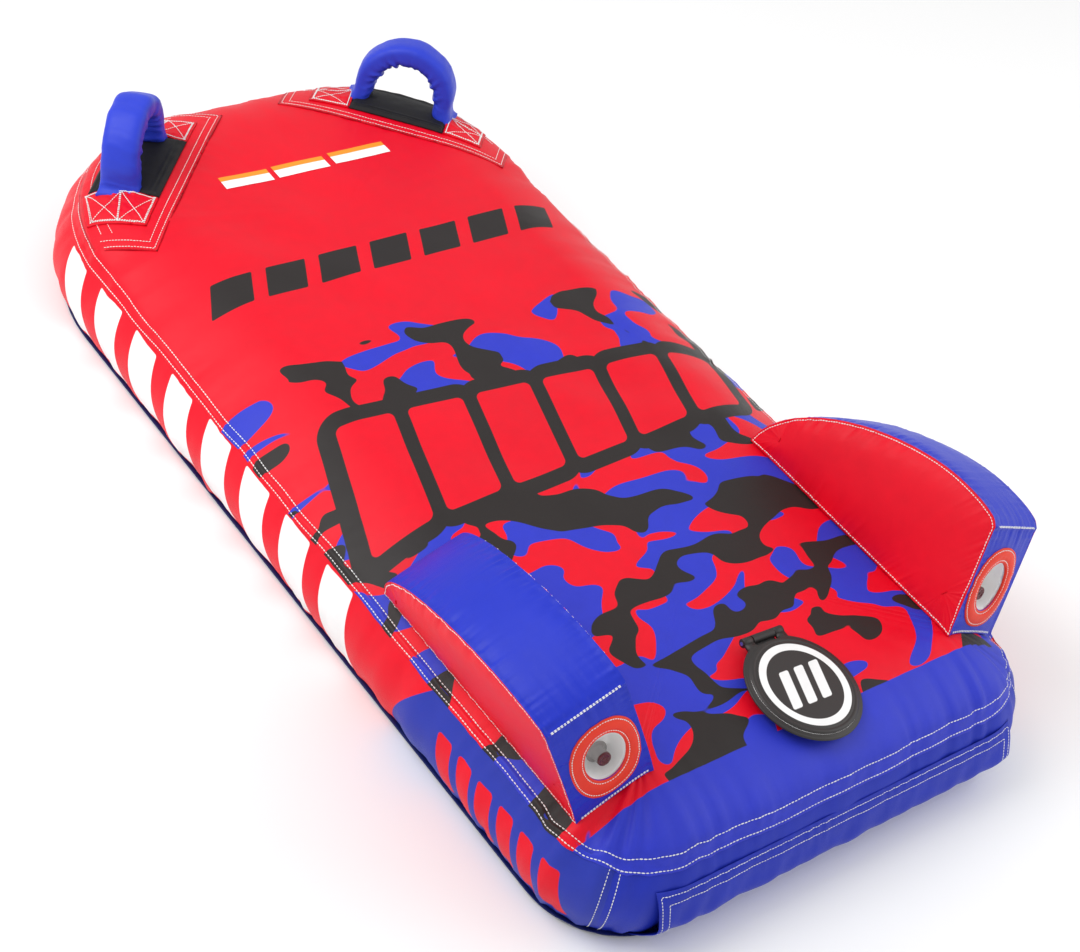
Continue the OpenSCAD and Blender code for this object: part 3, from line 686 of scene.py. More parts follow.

# %% [markdown]
# ## Walls
# Each wall is a strip of the same columns. Air pushes it out between the seams, and both
# seams pucker it. The rear wall is blue cloth drawn darker than the deck's blue: painted shade
# for an upright wall that gets less light than the deck. A navy binding closes the bottom seam
# and waves a little where it stands out.

# %% Wall grids
wall_z = SKIN + (SEAM_Z - SKIN) * (0.5 - 0.5 * np.cos(np.linspace(0, math.pi, 29)))
wall_rows = np.array([np.column_stack([seam_points + seam_out * wall_out(z), np.full(len(seam_points), z)])
                      for z in wall_z])
from_top, from_bottom = SEAM_Z - wall_z, wall_z - SKIN
wall_rows = seam_shift(wall_rows, from_top, 0.03)
wall_facing = -normals_of(wall_rows, wrap=True)
wall_relief = pucker(from_top, 20) * 0.8 + pucker(from_bottom, 40) * 1.5 * ramp(from_bottom, 0, 0.008)[:, None]
middle_waves = 0.0010 * waves(seam_run, 51, 0.08, 0.5, loop=SEAM_LENGTH)
wall_relief += middle_waves * np.sin(math.pi * (wall_z - SKIN) / (SEAM_Z - SKIN))[:, None]
wall_relief *= ramp(from_top, 0.0, 0.012)[:, None] * 0.9 + 0.1
facing_out = np.where((wall_facing * np.concatenate([seam_out, np.zeros((len(seam_out), 1))], 1)).sum(
    2, keepdims=True) < 0, -1, 1)
wall_facing = wall_facing * facing_out
wall_rows += wall_facing * wall_relief[..., None]
rim = np.maximum(np.exp(-from_top / 0.006), np.exp(-from_bottom / 0.006))[:, None]


def wall(name, panel, material, slot, node):
    first, last = panel_ends[panel]
    cols = np.arange(first, last + 1) % len(seam_points)
    run = seam_run[first] + np.concatenate([[0], np.cumsum(seam_steps[first:last])])
    made = lattice(name, wall_rows[:, cols], material,
                   pattern=np.stack(np.meshgrid(run, wall_z * 1.15), -1), rim=rim)
    place(made, "board", slot, node)
    return cut_cloth(made)


for side in ("left", "right"):
    wall(f"wall_{side}", side, wall_cloth, "red_cloth", f"side_panel_{side}")
wall("wall_nose", "nose", red_cloth, "red_cloth", "nose_panel")
# the rear wall's darker blue is painted shade
wall("wall_rear", "rear", rear_blue_painted_shade, "blue_cloth", "rear_panel")

# %% [markdown]
# The bottom panel is a flat sheet under the board, and the binding is a folded tape over its
# edge: a thin closed strip that waves up and down as sewn tape does.

# %% Bottom panel and binding
ring_shares = np.array([1.0, 0.985, 0.95, 0.9, 0.8, 0.65, 0.5, 0.35, 0.2, 0.1, 0.0])
bottom = np.array([np.column_stack([seam_points * s + spine * (1 - s) * np.array([0, 1]),
                                    np.full(len(seam_points), SKIN * 0.5)]) for s in ring_shares])
bottom[..., 2] += 0.0005 * np.abs(waves(bottom[..., 0], 61, 0.1, 0.3) * waves(bottom[..., 1], 62, 0.1, 0.3))
bottom_cover = weld(lattice("bottom_cover", bottom, navy_cloth, wrap=True, flip=True,
                            pattern=np.concatenate([bottom, bottom[:, :1]], 1)[..., :2]))
place(bottom_cover, "board", "navy_cloth", "bottom_panel")
cut_cloth(bottom_cover)

TAPE = 0.0065
tape_wave = 0.0011 * (1 + np.clip(
    waves(seam_run, 71, 0.025, 0.07, loop=SEAM_LENGTH), -1, 1)) * (1 + 1.4 * rear_corner)
tape_section = [(-0.003, 0.0006), (TAPE * 0.5, 0.0004), (TAPE, 0.0008), (TAPE + 0.0004, 0.0016), (TAPE, 0.0024),
                (TAPE * 0.5, 0.0028), (-0.003, 0.0026)]
binding = np.array([np.column_stack([seam_points + seam_out * (d + 0.6 * tape_wave * (d > 0))[:, None],
                                     z + tape_wave * max(d, 0) / TAPE]) for d, z in tape_section])
edge_binding = lattice("edge_binding", binding, navy_cloth, wrap=True, rim=0.6)
place(edge_binding, "board", "navy_cloth", "bottom_binding")
cut_cloth(edge_binding)

# %% [markdown]
# ## Main bladder
# The vinyl bladder fills the cover. It shows only through the valve opening, but the cover
# rests on it, so it is made as one closed form a few millimetres inside, with the same kind
# of round opening where the valve is welded in.

# %% Bladder
UNDER_COVER = 0.0065


def bladder_top(x, y):
    dip = 0.009 * np.exp(-(np.hypot(x, y - VALVE_Y) / 0.062) ** 4)
    return deck_height(x, y) - UNDER_COVER - dip


few = slice(None, None, 2)
points, out, mid = seam_points[few], seam_out[few], spine[few]
rows = [np.column_stack([mid, np.full(len(mid), UNDER_COVER)]),
        np.column_stack([points - 0.02 * out, np.full(len(mid), UNDER_COVER)])]
for z in np.linspace(0.012, SEAM_Z - 0.006, 12):
    rows.append(np.column_stack([points + out * (wall_out(z) - UNDER_COVER), np.full(len(mid), z)]))
for inset in np.concatenate([[0.007], np.linspace(0.012, 0.096, 14)]):
    xy = points - out * inset
    rows.append(np.column_stack([xy, bladder_top(*xy.T)]))
outer = rows[-1][:, :2]
for share in np.linspace(0, 1, 22)[1:]:
    xy = outer * (1 - share) + mid * share
    rows.append(np.column_stack([xy, bladder_top(*xy.T)]))
bladder = lattice("main_bladder_skin", np.array(rows), white_vinyl, wrap=True)
round_opening(bladder, 0.037, bladder_top)
outwards(bladder)
place(bladder, "board", "white_vinyl", "main_bladder")

# %% [markdown]
# ## Handle corners
# Each nose corner carries a sewn-on reinforcement, a black pad that keeps knuckles off the
# deck, two patches and the handle between them. All are laid on the deck in the corner's own
# frame: s runs along the handle and t outwards. The patches swell where the handle's ends
# are sewn in under them.

# %% Corner frame
CORNER_REACH = NOSE_R - 0.070
CORNER_X = HALF_W - NOSE_R + CORNER_REACH * math.cos(math.pi / 4)
CORNER_Y = HALF_L - NOSE_R + CORNER_REACH * math.sin(math.pi / 4)
PATCH_FROM, PATCH_W, PATCH_IN = 0.074, 0.062, -0.057
HALF_ROOT = math.sqrt(0.5)


def corner_edge(s, inset):
    return np.sqrt((NOSE_R - inset) ** 2 - np.square(s)) - CORNER_REACH


def corner_xy(side, s, t):
    return side * (CORNER_X + (s + t) * HALF_ROOT), CORNER_Y + (t - s) * HALF_ROOT


def on_corner(side, s, t, lift):
    """Points on the deck's surface in a corner's frame, raised by lift."""
    s, t, lift = np.broadcast_arrays(s, t, lift)
    x, y = corner_xy(side, s, t)
    edge = 1e-4
    slope_x = (deck_height(x + edge, y) - deck_height(x - edge, y)) / (2 * edge)
    slope_y = (deck_height(x, y + edge) - deck_height(x, y - edge)) / (2 * edge)
    up = np.stack([-slope_x, -slope_y, np.ones_like(x)], -1)
    up /= np.linalg.norm(up, axis=-1, keepdims=True)
    surface = np.stack([x, y, deck_height(x, y)], -1)
    return surface + up * lift[..., None]


def corner_patch(name, side, s_range, t_in, edge_inset, t_out, lift, material, cell=0.0032, puff=0.0, seed=0,
                 swell=None):
    """A piece of cloth on the corner, with puffed middle and edges turned down onto the deck."""
    s0, s1 = s_range
    n_s, n_t = max(8, round((s1 - s0) / cell)), max(8, round((min(t_out, 0.07) - t_in) / cell))
    u = np.concatenate([[0, 0.0], np.linspace(0, 1, n_s), [1, 1.0]])
    v = np.concatenate([[0, 0.0], np.linspace(0, 1, n_t), [1, 1.0]])
    s = s0 + (s1 - s0) * u[:, None] + 0 * v[None]
    t1 = np.minimum(t_out, corner_edge(s, edge_inset))
    t = t_in + (t1 - t_in) * v[None]
    margin = np.minimum(np.minimum((s - s0), (s1 - s)), np.minimum(t - t_in, t1 - t))
    height = lift + puff * ramp(margin, 0, 0.018) + 0.0004 * waves(s + t, seed, 0.012, 0.05) * waves(
        s - t, seed + 1, 0.012, 0.05)
    if swell is not None:
        height = height + swell(s, t)
    height[0], height[-1], height[:, 0], height[:, -1] = (lift * 0.25,) * 4
    grid = on_corner(side, s, t, height)
    rim = np.exp(-margin / 0.004)
    flat = np.stack([s, t], -1)
    return lattice(name, grid, material, pattern=flat, rim=rim, flip=side < 0)


SLEEVE_TUCK = 0.014         # how far the handle's end reaches under its patch


def handle_swell(s, t):
    return 0.0055 * np.exp(-(np.maximum(np.abs(s) - PATCH_FROM, 0) / SLEEVE_TUCK) ** 2) * np.exp(
        -(t / 0.034) ** 4)


for side, word in ((-1, "left"), (1, "right")):
    piece = corner_patch(f"corner_reinforcement_{word}", side, (-0.178, 0.178), -0.085, 0.0045, 0.2, 0.0012,
                         red_cloth, cell=0.005, seed=80 + side)
    place(piece, "board", "red_cloth", f"handle_reinforcement_{word}")
    cut_cloth(piece)
    for end, end_word in ((-1, "front"), (1, "rear")):
        span = sorted((end * PATCH_FROM, end * (PATCH_FROM + PATCH_W)))
        piece = corner_patch(f"patch_{end_word}_{word}", side, span, PATCH_IN, 0.009, 0.2, 0.0030, red_cloth,
                             cell=0.0022, puff=0.0018, seed=90 + side + 3 * end, swell=handle_swell)
        place(piece, "board", "red_cloth", f"handle_patch_{end_word}_{word}")
        cut_cloth(piece)

# %% [markdown]
# The knuckle pads are neoprene-faced foam with a pair of welts pressed in along both long
# edges. They are closed forms: the top grid has the welts, and its outer rows turn down to a
# thin base.

# %% Knuckle pads
PAD_HALF, PAD_OUT, PAD_THICK = PATCH_FROM - 0.0005, 0.042, 0.0075


def knuckle_pad(side, word):
    n_s, n_t = 72, 56
    u, v = np.linspace(0, 1, n_s), np.linspace(0, 1, n_t)
    s = -PAD_HALF + 2 * PAD_HALF * u[:, None] + 0 * v[None]
    t1 = np.minimum(PAD_OUT, corner_edge(s, 0.010))
    t = PATCH_IN + (t1 - PATCH_IN) * v[None]
    margin = np.minimum(np.minimum(s + PAD_HALF, PAD_HALF - s), np.minimum(t - PATCH_IN, t1 - t))
    from_long_edge = np.minimum(t - PATCH_IN, t1 - t)
    welts = sum(np.exp(-((from_long_edge - at) / 0.0018) ** 2) for at in (0.006, 0.013))
    height = 0.0028 + PAD_THICK * 0.55 * np.sqrt(ramp(margin, -0.001, 0.007)) + 0.0014 * welts * ramp(
        margin, 0, 0.004)
    height += 0.0012 * ramp(margin, 0.01, 0.04) + 0.0003 * waves(s, 101, 0.02, 0.06) * waves(t, 102, 0.02, 0.06)
    top = on_corner(side, s, t, height)
    under = on_corner(side, s, t, np.full_like(s, 0.0024))
    ring = [(i, 0) for i in range(n_s)] + [(n_s - 1, j) for j in range(1, n_t)] + \
           [(i, n_t - 1) for i in range(n_s - 2, -1, -1)] + [(0, j) for j in range(n_t - 2, 0, -1)]
    ring = np.array(ring).T
    faces = [lattice("pad_top", top, black_pad, rim=np.exp(-margin / 0.006)),
             lattice("pad_under", under, black_pad, flip=True, rim=0),
             lattice("pad_side", np.stack([under[ring[0], ring[1]], top[ring[0], ring[1]]]), black_pad,
                     wrap=True,
                     rim=0)]
    return outwards(joined(f"pad_{word}", faces))


def joined(name, parts, within=1e-5):
    """Makes one welded piece of several."""
    work = bmesh.new()
    for part in parts:
        work.from_mesh(part.data)
    bmesh.ops.remove_doubles(work, verts=work.verts, dist=within)
    mesh = bpy.data.meshes.new(name)
    work.to_mesh(mesh)
    work.free()
    material = parts[0].data.materials[0]
    for part in parts:
        bpy.data.objects.remove(part)
    return shown(name, mesh, material)


for side, word in ((-1, "left"), (1, "right")):
    pad = place(knuckle_pad(side, word), "board", "black_foam", f"knuckle_pad_{word}")

# %% [markdown]
# ## Handles
# A handle is a strap in a foam tube in a cloth sleeve. The sleeve is longer than the tube, so
# it gathers: deep cross folds on the inside of the bend, fine ones elsewhere. Its ends widen
# and flatten before they go under the patches. The section is swept along the arch.

# %% Sleeves, foam and straps
HANDLE_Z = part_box("handle_web_right")[0].z - 0.030
LEAN = math.radians(8)
ARCH_R, ARCH_RISE = 0.062, 0.030


def arch_path(n, tuck):
    """Centre line (s, height) from under one patch, up and round, to under the other."""
    turn = np.linspace(math.pi, 0, n)
    arch = np.stack([ARCH_R * np.cos(turn), ARCH_RISE + ARCH_R * np.sin(turn)], 1)
    leg = np.linspace(0, 1, n // 4)[:-1]
    foot_s = -(PATCH_FROM + tuck) + (PATCH_FROM + tuck - ARCH_R) * np.sin(leg * math.pi / 2) ** 0.8
    foot_h = ARCH_RISE * (1 - np.cos(leg * math.pi / 2)) ** 1.1 - 0.0015
    foot = np.stack([foot_s, foot_h], 1)
    mirrored = foot[::-1] * (-1, 1)
    return np.concatenate([foot, arch, mirrored])


def even(path, count):
    """The same line with evenly spaced points."""
    run = np.concatenate([[0], np.cumsum(np.linalg.norm(np.diff(path, axis=0), axis=1))])
    at = np.linspace(0, run[-1], count)
    return np.stack([np.interp(at, run, path[:, k]) for k in range(path.shape[1])], 1), at


def in_handle(side, s, t, h):
    """From the handle's own frame, which leans outwards, to the board's."""
    out, high = t * math.cos(LEAN) + h * math.sin(LEAN), -t * math.sin(LEAN) + h * math.cos(LEAN)
    x, y = corner_xy(side, s, out)
    return np.stack([x, y, HANDLE_Z + high], -1)


def swept_handle(name, side, half_w, half_t, power, material, gathers=0.0, seed=0,
                  rows=220, around=64, tuck=0.012):
    path, at = even(arch_path(90, tuck), rows)
    tangent = np.gradient(path, axis=0)
    tangent /= np.linalg.norm(tangent, axis=1, keepdims=True)
    outward = np.stack([-tangent[:, 1], tangent[:, 0]], 1)      # away from the arch's inside
    angle = np.linspace(0, TURN, around, endpoint=False)
    c, d = np.cos(angle), np.sin(angle)
    unit = (np.abs(c) ** power + np.abs(d) ** power) ** (-1 / power)
    near_foot = np.exp(-np.minimum(at, at[-1] - at) / 0.022)[:, None]
    width = half_w * (1 + 0.16 * near_foot)
    thick = half_t * (1 - 0.72 * near_foot)
    t = width * (d * unit)[None]
    n = thick * (c * unit)[None]
    if gathers:
        inside = ramp(-c, -0.3, 0.9)[None]
        folds = waves(at[:, None] + 0.0035 * np.sin(3 * angle)[None] + 0.002 * c[None],
                      seed, 0.012, 0.034, count=20)
        folds = np.where(folds > 0, folds, 0.5 * folds)
        fine = waves(at[:, None] + 0.004 * np.sin(2 * angle + 1)[None], seed + 1, 0.007, 0.014)
        slack = waves(at[:, None] * np.ones_like(angle)[None], seed + 2, 0.03, 0.09)
        move = gathers * (folds * (0.12 + 1.25 * inside) + 0.12 * fine * (0.3 + inside) + 0.5 * slack) * (
            1 - 0.5 * near_foot)
        t = t + move * 0.6 * d[None]
        n = n + move * c[None]
    s = path[:, :1] + outward[:, :1] * n
    h = path[:, 1:] + outward[:, 1:] * n
    grid = in_handle(side, s, t, h)
    made = lattice(name, grid, material, wrap=True, rim=0.5 * near_foot)
    return outwards(closed_ends(made))


def closed_ends(obj):
    """Fills the open ends of a tube."""
    work = bmesh.new()
    work.from_mesh(obj.data)
    bmesh.ops.holes_fill(work, edges=[e for e in work.edges if e.is_boundary], sides=0)
    work.to_mesh(obj.data)
    work.free()
    return obj


for side, word in ((-1, "left"), (1, "right")):
    sleeve = swept_handle(f"handle_sleeve_cloth_{word}", side, 0.0272, 0.0172, 3.4, blue_cloth,
                          gathers=0.0017, seed=110 + side)
    core = swept_handle(f"handle_tube_{word}", side, 0.0205, 0.0125, 3.0, grip_foam,
                        rows=90, around=32, tuck=0.004)
    strap = swept_handle(f"handle_strap_{word}", side, 0.0175, 0.0014, 4.0, webbing,
                         rows=90, around=24, tuck=0.008)
    x, y = corner_xy(side, 0, 0)
    for obj, slot, node in ((sleeve, "blue_cloth", "sleeve"), (core, "grip_foam", "foam"),
                            (strap, "webbing", "web")):
        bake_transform(obj)
        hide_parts(f"handle_{node}_{word}")
    print(f"{word} handle: sleeve {len(sleeve.data.polygons)} faces")

# %% [markdown]
# ## Bolsters
# A bolster is a wedge of five panels blown tight. Its grid runs round the side profile (end,
# top, foot) in one direction, and from the middle of the inner panel over the top strip to the
# middle of the outer panel in the other. The closed grid is inflated as cloth with its foot
# pinned, refined, puckered along its seams, and only then split into its panels.

# %% Profile and grid
BOLSTER_W, BOLSTER_H, END_H = 0.113, 0.162, 0.150
BOLSTER_REAR = 0.092 - HALF_L
END_LEAN, BOLSTER_LEAN = math.radians(15), math.radians(22.9)
TOP_REAR, END_TOP = BOLSTER_REAR + END_H * math.sin(END_LEAN), END_H * math.cos(END_LEAN)
CREST_Y, TIP_Y = BOLSTER_REAR + 0.121, BOLSTER_REAR + 0.400
SEAM_INSET = 0.0012
END_CELLS, TOP_CELLS = 18, 42
FOOT_CELLS = END_CELLS + TOP_CELLS
RINGS, ACROSS = 10, 12


def bolster_loop():
    """Side profile (y, z): up the end, over the crest to the tip, and back along the foot."""
    end = np.linspace((BOLSTER_REAR, 0), (TOP_REAR, END_TOP), END_CELLS + 1)
    turn = np.linspace(0, math.pi / 2, 40)
    rise = np.stack([CREST_Y - (CREST_Y - TOP_REAR) * np.cos(turn),
                     END_TOP + (BOLSTER_H - END_TOP) * np.sin(turn)], 1)
    fall = np.stack([CREST_Y + (TIP_Y - CREST_Y) * np.sin(turn) ** (2 / 1.7),
                     BOLSTER_H * np.clip(np.cos(turn), 0, 1) ** (2 / 1.7)], 1)
    top, _ = even(np.concatenate([rise, fall[1:]]), TOP_CELLS + 1)
    foot = np.linspace(top[-1], end[0], FOOT_CELLS + 1)
    return np.concatenate([end[:-1], top[:-1], foot[:-1]])


def bolster_grid():
    loop = bolster_loop()
    count = len(loop)
    k = np.arange(count)
    pair = np.minimum(k, count - k).clip(9, FOOT_CELLS - 7)
    middle = (loop[pair] + loop[-pair]) / 2
    rows = []
    for share in np.linspace(1, 0, RINGS + 1):
        rows.append((SEAM_INSET, loop * (1 - share) + middle * share))
    for x in np.linspace(SEAM_INSET, BOLSTER_W - SEAM_INSET, ACROSS + 1)[1:]:
        rows.append((x, loop))
    for share in np.linspace(0, 1, RINGS + 1)[1:]:
        rows.append((BOLSTER_W - SEAM_INSET, loop * (1 - share) + middle * share))
    return np.array([np.column_stack([np.full(count, x), ring]) for x, ring in rows])


def closed_mesh(grid):
    """A welded mesh of a wrapped grid, and the vertex of each grid point."""
    spots, vertex = np.unique(np.round(grid.reshape(-1, 3), 6), axis=0, return_inverse=True)
    vertex = vertex.reshape(grid.shape[:2])
    faces = []
    for r in range(grid.shape[0] - 1):
        for c in range(grid.shape[1]):
            ring = [vertex[r, c - 1], vertex[r, c], vertex[r + 1, c], vertex[r + 1, c - 1]]
            ring = list(dict.fromkeys(int(v) for v in ring))
            if len(ring) > 2:
                faces.append(ring)
    mesh = bpy.data.meshes.new("inflating")
    mesh.from_pydata(spots.tolist(), [], faces)
    mesh.validate()
    work = bmesh.new()
    work.from_mesh(mesh)
    bmesh.ops.recalc_face_normals(work, faces=work.faces)
    work.to_mesh(mesh)
    work.free()
    return mesh, vertex


def inflated(grid, pinned, pressure, cap, frames=20):
    """Blows up a closed grid as pinned cloth; no point moves further than cap."""
    mesh, vertex = closed_mesh(grid)
    obj = bpy.data.objects.new("inflating", mesh)
    bpy.context.collection.objects.link(obj)
    pin = obj.vertex_groups.new(name="pin")
    for at in np.argwhere(pinned > 0):
        pin.add([int(vertex[tuple(at)])], float(pinned[tuple(at)]), "REPLACE")
    start = np.array([v.co for v in mesh.vertices])
    blown = obj.modifiers.new("cloth", "CLOTH")
    blown.settings.quality = 6
    blown.settings.mass = 0.3
    blown.settings.tension_stiffness = 12
    blown.settings.compression_stiffness = 6
    blown.settings.shear_stiffness = 4
    blown.settings.bending_stiffness = 4.0
    blown.settings.use_pressure = True
    blown.settings.uniform_pressure_force = pressure
    blown.settings.effector_weights.gravity = 0
    blown.settings.vertex_group_mass = "pin"
    scene = bpy.context.scene
    for step in range(1, frames + 1):
        scene.frame_set(step)
    seen = obj.evaluated_get(bpy.context.evaluated_depsgraph_get())
    moved = np.array([v.co for v in seen.data.vertices]) - start
    scene.frame_set(1)
    size = np.linalg.norm(moved, axis=1, keepdims=True)
    limit = np.tanh(size / cap) * cap / np.maximum(size, 1e-9)
    print(f"inflated: largest move {size.max() * 1000:.1f} mm, capped at {cap * 1000:.0f} mm")
    bpy.data.objects.remove(obj)
    bpy.data.meshes.remove(mesh)
    return (start + moved * limit)[vertex]


def finer(grid, times, wrap=False):
    """More rows through the same points, on smooth curves."""
    if wrap:
        points = [np.roll(grid, shift, 0) for shift in (1, 0, -1, -2)]
    else:
        padded = np.concatenate([2 * grid[:1] - grid[1:2], grid, 2 * grid[-1:] - grid[-2:-1]])
        points = [padded[k:len(padded) - 3 + k] for k in range(4)]
    a, b, c, d = (p[:, None] for p in points)
    t = (np.arange(times) / times).reshape((1, -1) + (1,) * (grid.ndim - 1))
    made = 0.5 * (2 * b + (c - a) * t + (2 * a - 5 * b + 4 * c - d) * t ** 2 + (3 * b - a - 3 * c + d) * t ** 3)
    made = made.reshape((-1,) + grid.shape[1:])
    return made if wrap else np.concatenate([made, grid[-1:]])


# %% [markdown]
# The two bolsters mirror each other, so one simulation serves both. The foot is pinned where
# it is sewn to the deck, and the end seams are pinned too, because the end stays flat round
# its port.

# %% Inflate once
start_grid = bolster_grid()
loop_count = start_grid.shape[1]
on_foot = np.zeros(start_grid.shape[:2])
on_foot[[RINGS, RINGS + ACROSS], :FOOT_CELLS] = 1 - ramp(np.arange(FOOT_CELLS), END_CELLS, END_CELLS + 12)
on_foot[RINGS:RINGS + ACROSS + 1, FOOT_CELLS:] = 1
on_foot[RINGS:RINGS + ACROSS + 1, 0] = 1
blown_grid = inflated(start_grid, on_foot, pressure=6.0, cap=0.011)
print("bolster grid", blown_grid.shape)

# %% [markdown]
# The blown grid is refined panel by panel, so the seams stay crisp. Close to every seam the
# cloth puckers across it, and each panel stands slightly proud of the seam line. The red side
# panels lap a little over the blue ones. The foot is set down onto the deck.

# %% Panels of a bolster
stitching = {}              # stitch rows by group: lists of (points, facing)


def along_seam(group, points, facing, closed=False):
    if closed:
        points, facing = (np.concatenate([a, a[:1]]) for a in (points, facing))
    stitching.setdefault(group, []).append((np.asarray(points), np.asarray(facing)))


def row_at(grid, facing, distance, wanted):
    """The line across a grid where distance from the seam has a wanted value, and its normals."""
    picked = []
    for values in (grid, facing):
        columns = [[np.interp(wanted, distance[:, c], values[:, c, k]) for k in range(3)]
                   for c in range(grid.shape[1])]
        picked.append(np.array(columns))
    return picked


def on_board(side, local):
    """From the bolster's own frame to the board's, set down onto the deck at its foot."""
    local = np.asarray(local, float)
    cos, sin = math.cos(BOLSTER_LEAN), math.sin(BOLSTER_LEAN)

    def turned(x, y, z):
        high = z + 0.0055
        return HALF_W - 0.120 + x * cos + high * sin, y, DECK_Z - x * sin + high * cos
    x, y, z = turned(*np.moveaxis(local, -1, 0))
    foot_x, foot_y, foot_z = turned(local[..., 0], local[..., 1], 0 * local[..., 2])
    settle = (deck_height(foot_x, foot_y) + 0.0006 - foot_z) * np.exp(-np.maximum(local[..., 2], 0) / 0.03)
    return np.stack([side * x, y, z + settle], -1)


FINE = 4
FOOT_FROM, TOP_FROM = FOOT_CELLS * FINE, END_CELLS * FINE


def spaced(grid):
    """Distance of every point from the first row."""
    steps = np.linalg.norm(np.diff(grid, axis=0), axis=2)
    return np.concatenate([np.zeros((1, grid.shape[1])), np.cumsum(steps, axis=0)])


def bolster(side, word):
    seeds = 200 + 40 * (side > 0)
    world = on_board(side, finer(blown_grid.swapaxes(0, 1), FINE, wrap=True).swapaxes(0, 1))
    loop_run = spaced(world[RINGS + ACROSS // 2][:, None])[:, 0]
    pieces = {"inner": finer(world[:RINGS + 1][::-1], 3), "strip": finer(world[RINGS:RINGS + ACROSS + 1], FINE),
              "outer": finer(world[RINGS + ACROSS:], 3)}
    made = {}
    for k, (part, grid) in enumerate(pieces.items()):
        facing = normals_of(grid, wrap=True) * (-side if part == "inner" else side)
        away = spaced(grid)
        others = [away, away[-1] - away] if part == "strip" else [away]
        relief = 0
        for n, gap in enumerate(others):
            creases = waves(loop_run, seeds + 5 * k + n, 0.007, 0.026, count=24, loop=loop_run[-1])
            creases = np.where(creases > 0, 0.6, 1.2) * creases
            reach = 0.011 + 0.008 * (0.5 + 0.5 * np.clip(waves(loop_run, seeds + 9 * k + n, 0.03, 0.09), -1, 1))
            fold = creases * np.exp(-gap / reach) * ramp(gap, 0.0, 0.004)
            relief = relief + (0.0010 if part == "strip" else 0.0006) * fold + 0.0009 * (
                ramp(gap, 0, 0.007) - 1)
        relief = relief + 0.0009
        if part == "strip":
            share = away / away[-1]
            from_top = loop_run - loop_run[TOP_FROM]
            tacks = waves(share, seeds + 17, 0.06, 0.2) * np.exp(-np.abs(from_top) / 0.02) * ramp(
                np.abs(from_top), 0, 0.004)
            relief = relief + 0.0010 * tacks - 0.0022 * np.exp(-(from_top / 0.0028) ** 2)
            relief = relief * ramp(np.minimum(away, away[-1] - away), -0.001, 0.002)
        made[part] = (grid + facing * np.asarray(relief)[..., None], away)
    return {part: (grid, normals_of(grid, wrap=True) * (-side if part == "inner" else side), away)
            for part, (grid, away) in made.items()}


def port_frame(side, x, up, out):
    """From the end panel's frame to the board's."""
    local = np.stack(np.broadcast_arrays(x, BOLSTER_REAR + up * math.sin(END_LEAN) - out * math.cos(END_LEAN),
                                         up * math.cos(END_LEAN) + out * math.sin(END_LEAN)), -1)
    return on_board(side, local)


PORT = np.array([0.0535, 0.067])
OPENING, RING_OUT = np.array([0.0285, 0.034]), np.array([0.0470, 0.0550])


def dropped(shell, side, x, up):
    """Points on the end panel seen straight from behind, and the panel's normals there."""
    spots, normals = [], []
    behind = (port_frame(side, 0.05, 0.07, 1.0) - port_frame(side, 0.05, 0.07, 0.0))
    for spot in port_frame(side, x, up, 0.05).reshape(-1, 3):
        hit, normal, _, _ = shell.ray_cast(Vector(spot), Vector(-behind), 0.2)
        if hit is None:
            hit, normal, _, _ = shell.find_nearest(Vector(spot))
        normal = normal if normal.dot(Vector(behind)) > 0 else -normal
        spots.append(hit)
        normals.append(normal)
    shape = np.shape(x) + (3,)
    return np.array(spots).reshape(shape), np.array(normals).reshape(shape)


def tree_of(obj):
    """A search tree of a piece's faces, for rays and nearest points."""
    return BVHTree.FromPolygons([v.co for v in obj.data.vertices], [p.vertices for p in obj.data.polygons])


def oval(size, count, power=2.0):
    angle = np.linspace(0, TURN, count, endpoint=False)
    cos, sin = np.cos(angle), np.sin(angle)
    reach = (np.abs(cos) ** power + np.abs(sin) ** power) ** (-1 / power)
    return PORT[0] + size[0] * cos * reach, PORT[1] + size[1] * sin * reach


def port_gap(side, co):
    """How far a point is from the port's middle, in port radii."""
    local = port_back(side, co)
    return math.hypot((local[0] - PORT[0]) / OPENING[0], (local[1] - PORT[1]) / OPENING[1])


def port_back(side, co):
    origin, across, up = (port_frame(side, *at) for at in ((0, 0.08, 0), (0.1, 0.08, 0), (0, 0.12, 0)))
    offset = np.array(co) - origin
    across, up = (across - origin) / 0.1, (up - origin) / 0.04
    return offset @ across, 0.08 + offset @ up


def with_port(obj, side, grow):
    """Cuts the port's opening, grown by a factor, and evens its edge."""
    work = bmesh.new()
    work.from_mesh(obj.data)
    inside = {v: port_gap(side, v.co) for v in work.verts}
    end = port_frame(side, 0.05, 0.07, 0.0)
    near = {v for v in work.verts if (v.co - Vector(end)).length < 0.09}
    bmesh.ops.delete(work, geom=[f for f in work.faces if all(v in near for v in f.verts)
                                 and min(inside[v] for v in f.verts) < grow], context="FACES")
    origin = Vector(port_frame(side, *PORT, 0.0))
    for v in work.verts:
        if v.is_boundary and v in near and v in inside and grow < inside[v] < grow + 0.25:
            v.co = v.co + (origin - v.co) * (1 - grow / inside[v]) * 0.98
    work.to_mesh(obj.data)
    work.free()
    return obj


# %% [markdown]
# Each bolster is now cut into its panels, and its port is added: an opening in the end panel,
# a sewn ring of trim cloth round it, and the bowl of the white bladder seen through it. The
# ring is dropped onto the panel by rays, because the blown panel is no longer flat.

# %% Make both bolsters
BLUE_STRIP = cloth("bolster_blue_cloth", rgb(30, 50, 190), gloss=0.38, depth=0.07)
LAP_OVER = 2
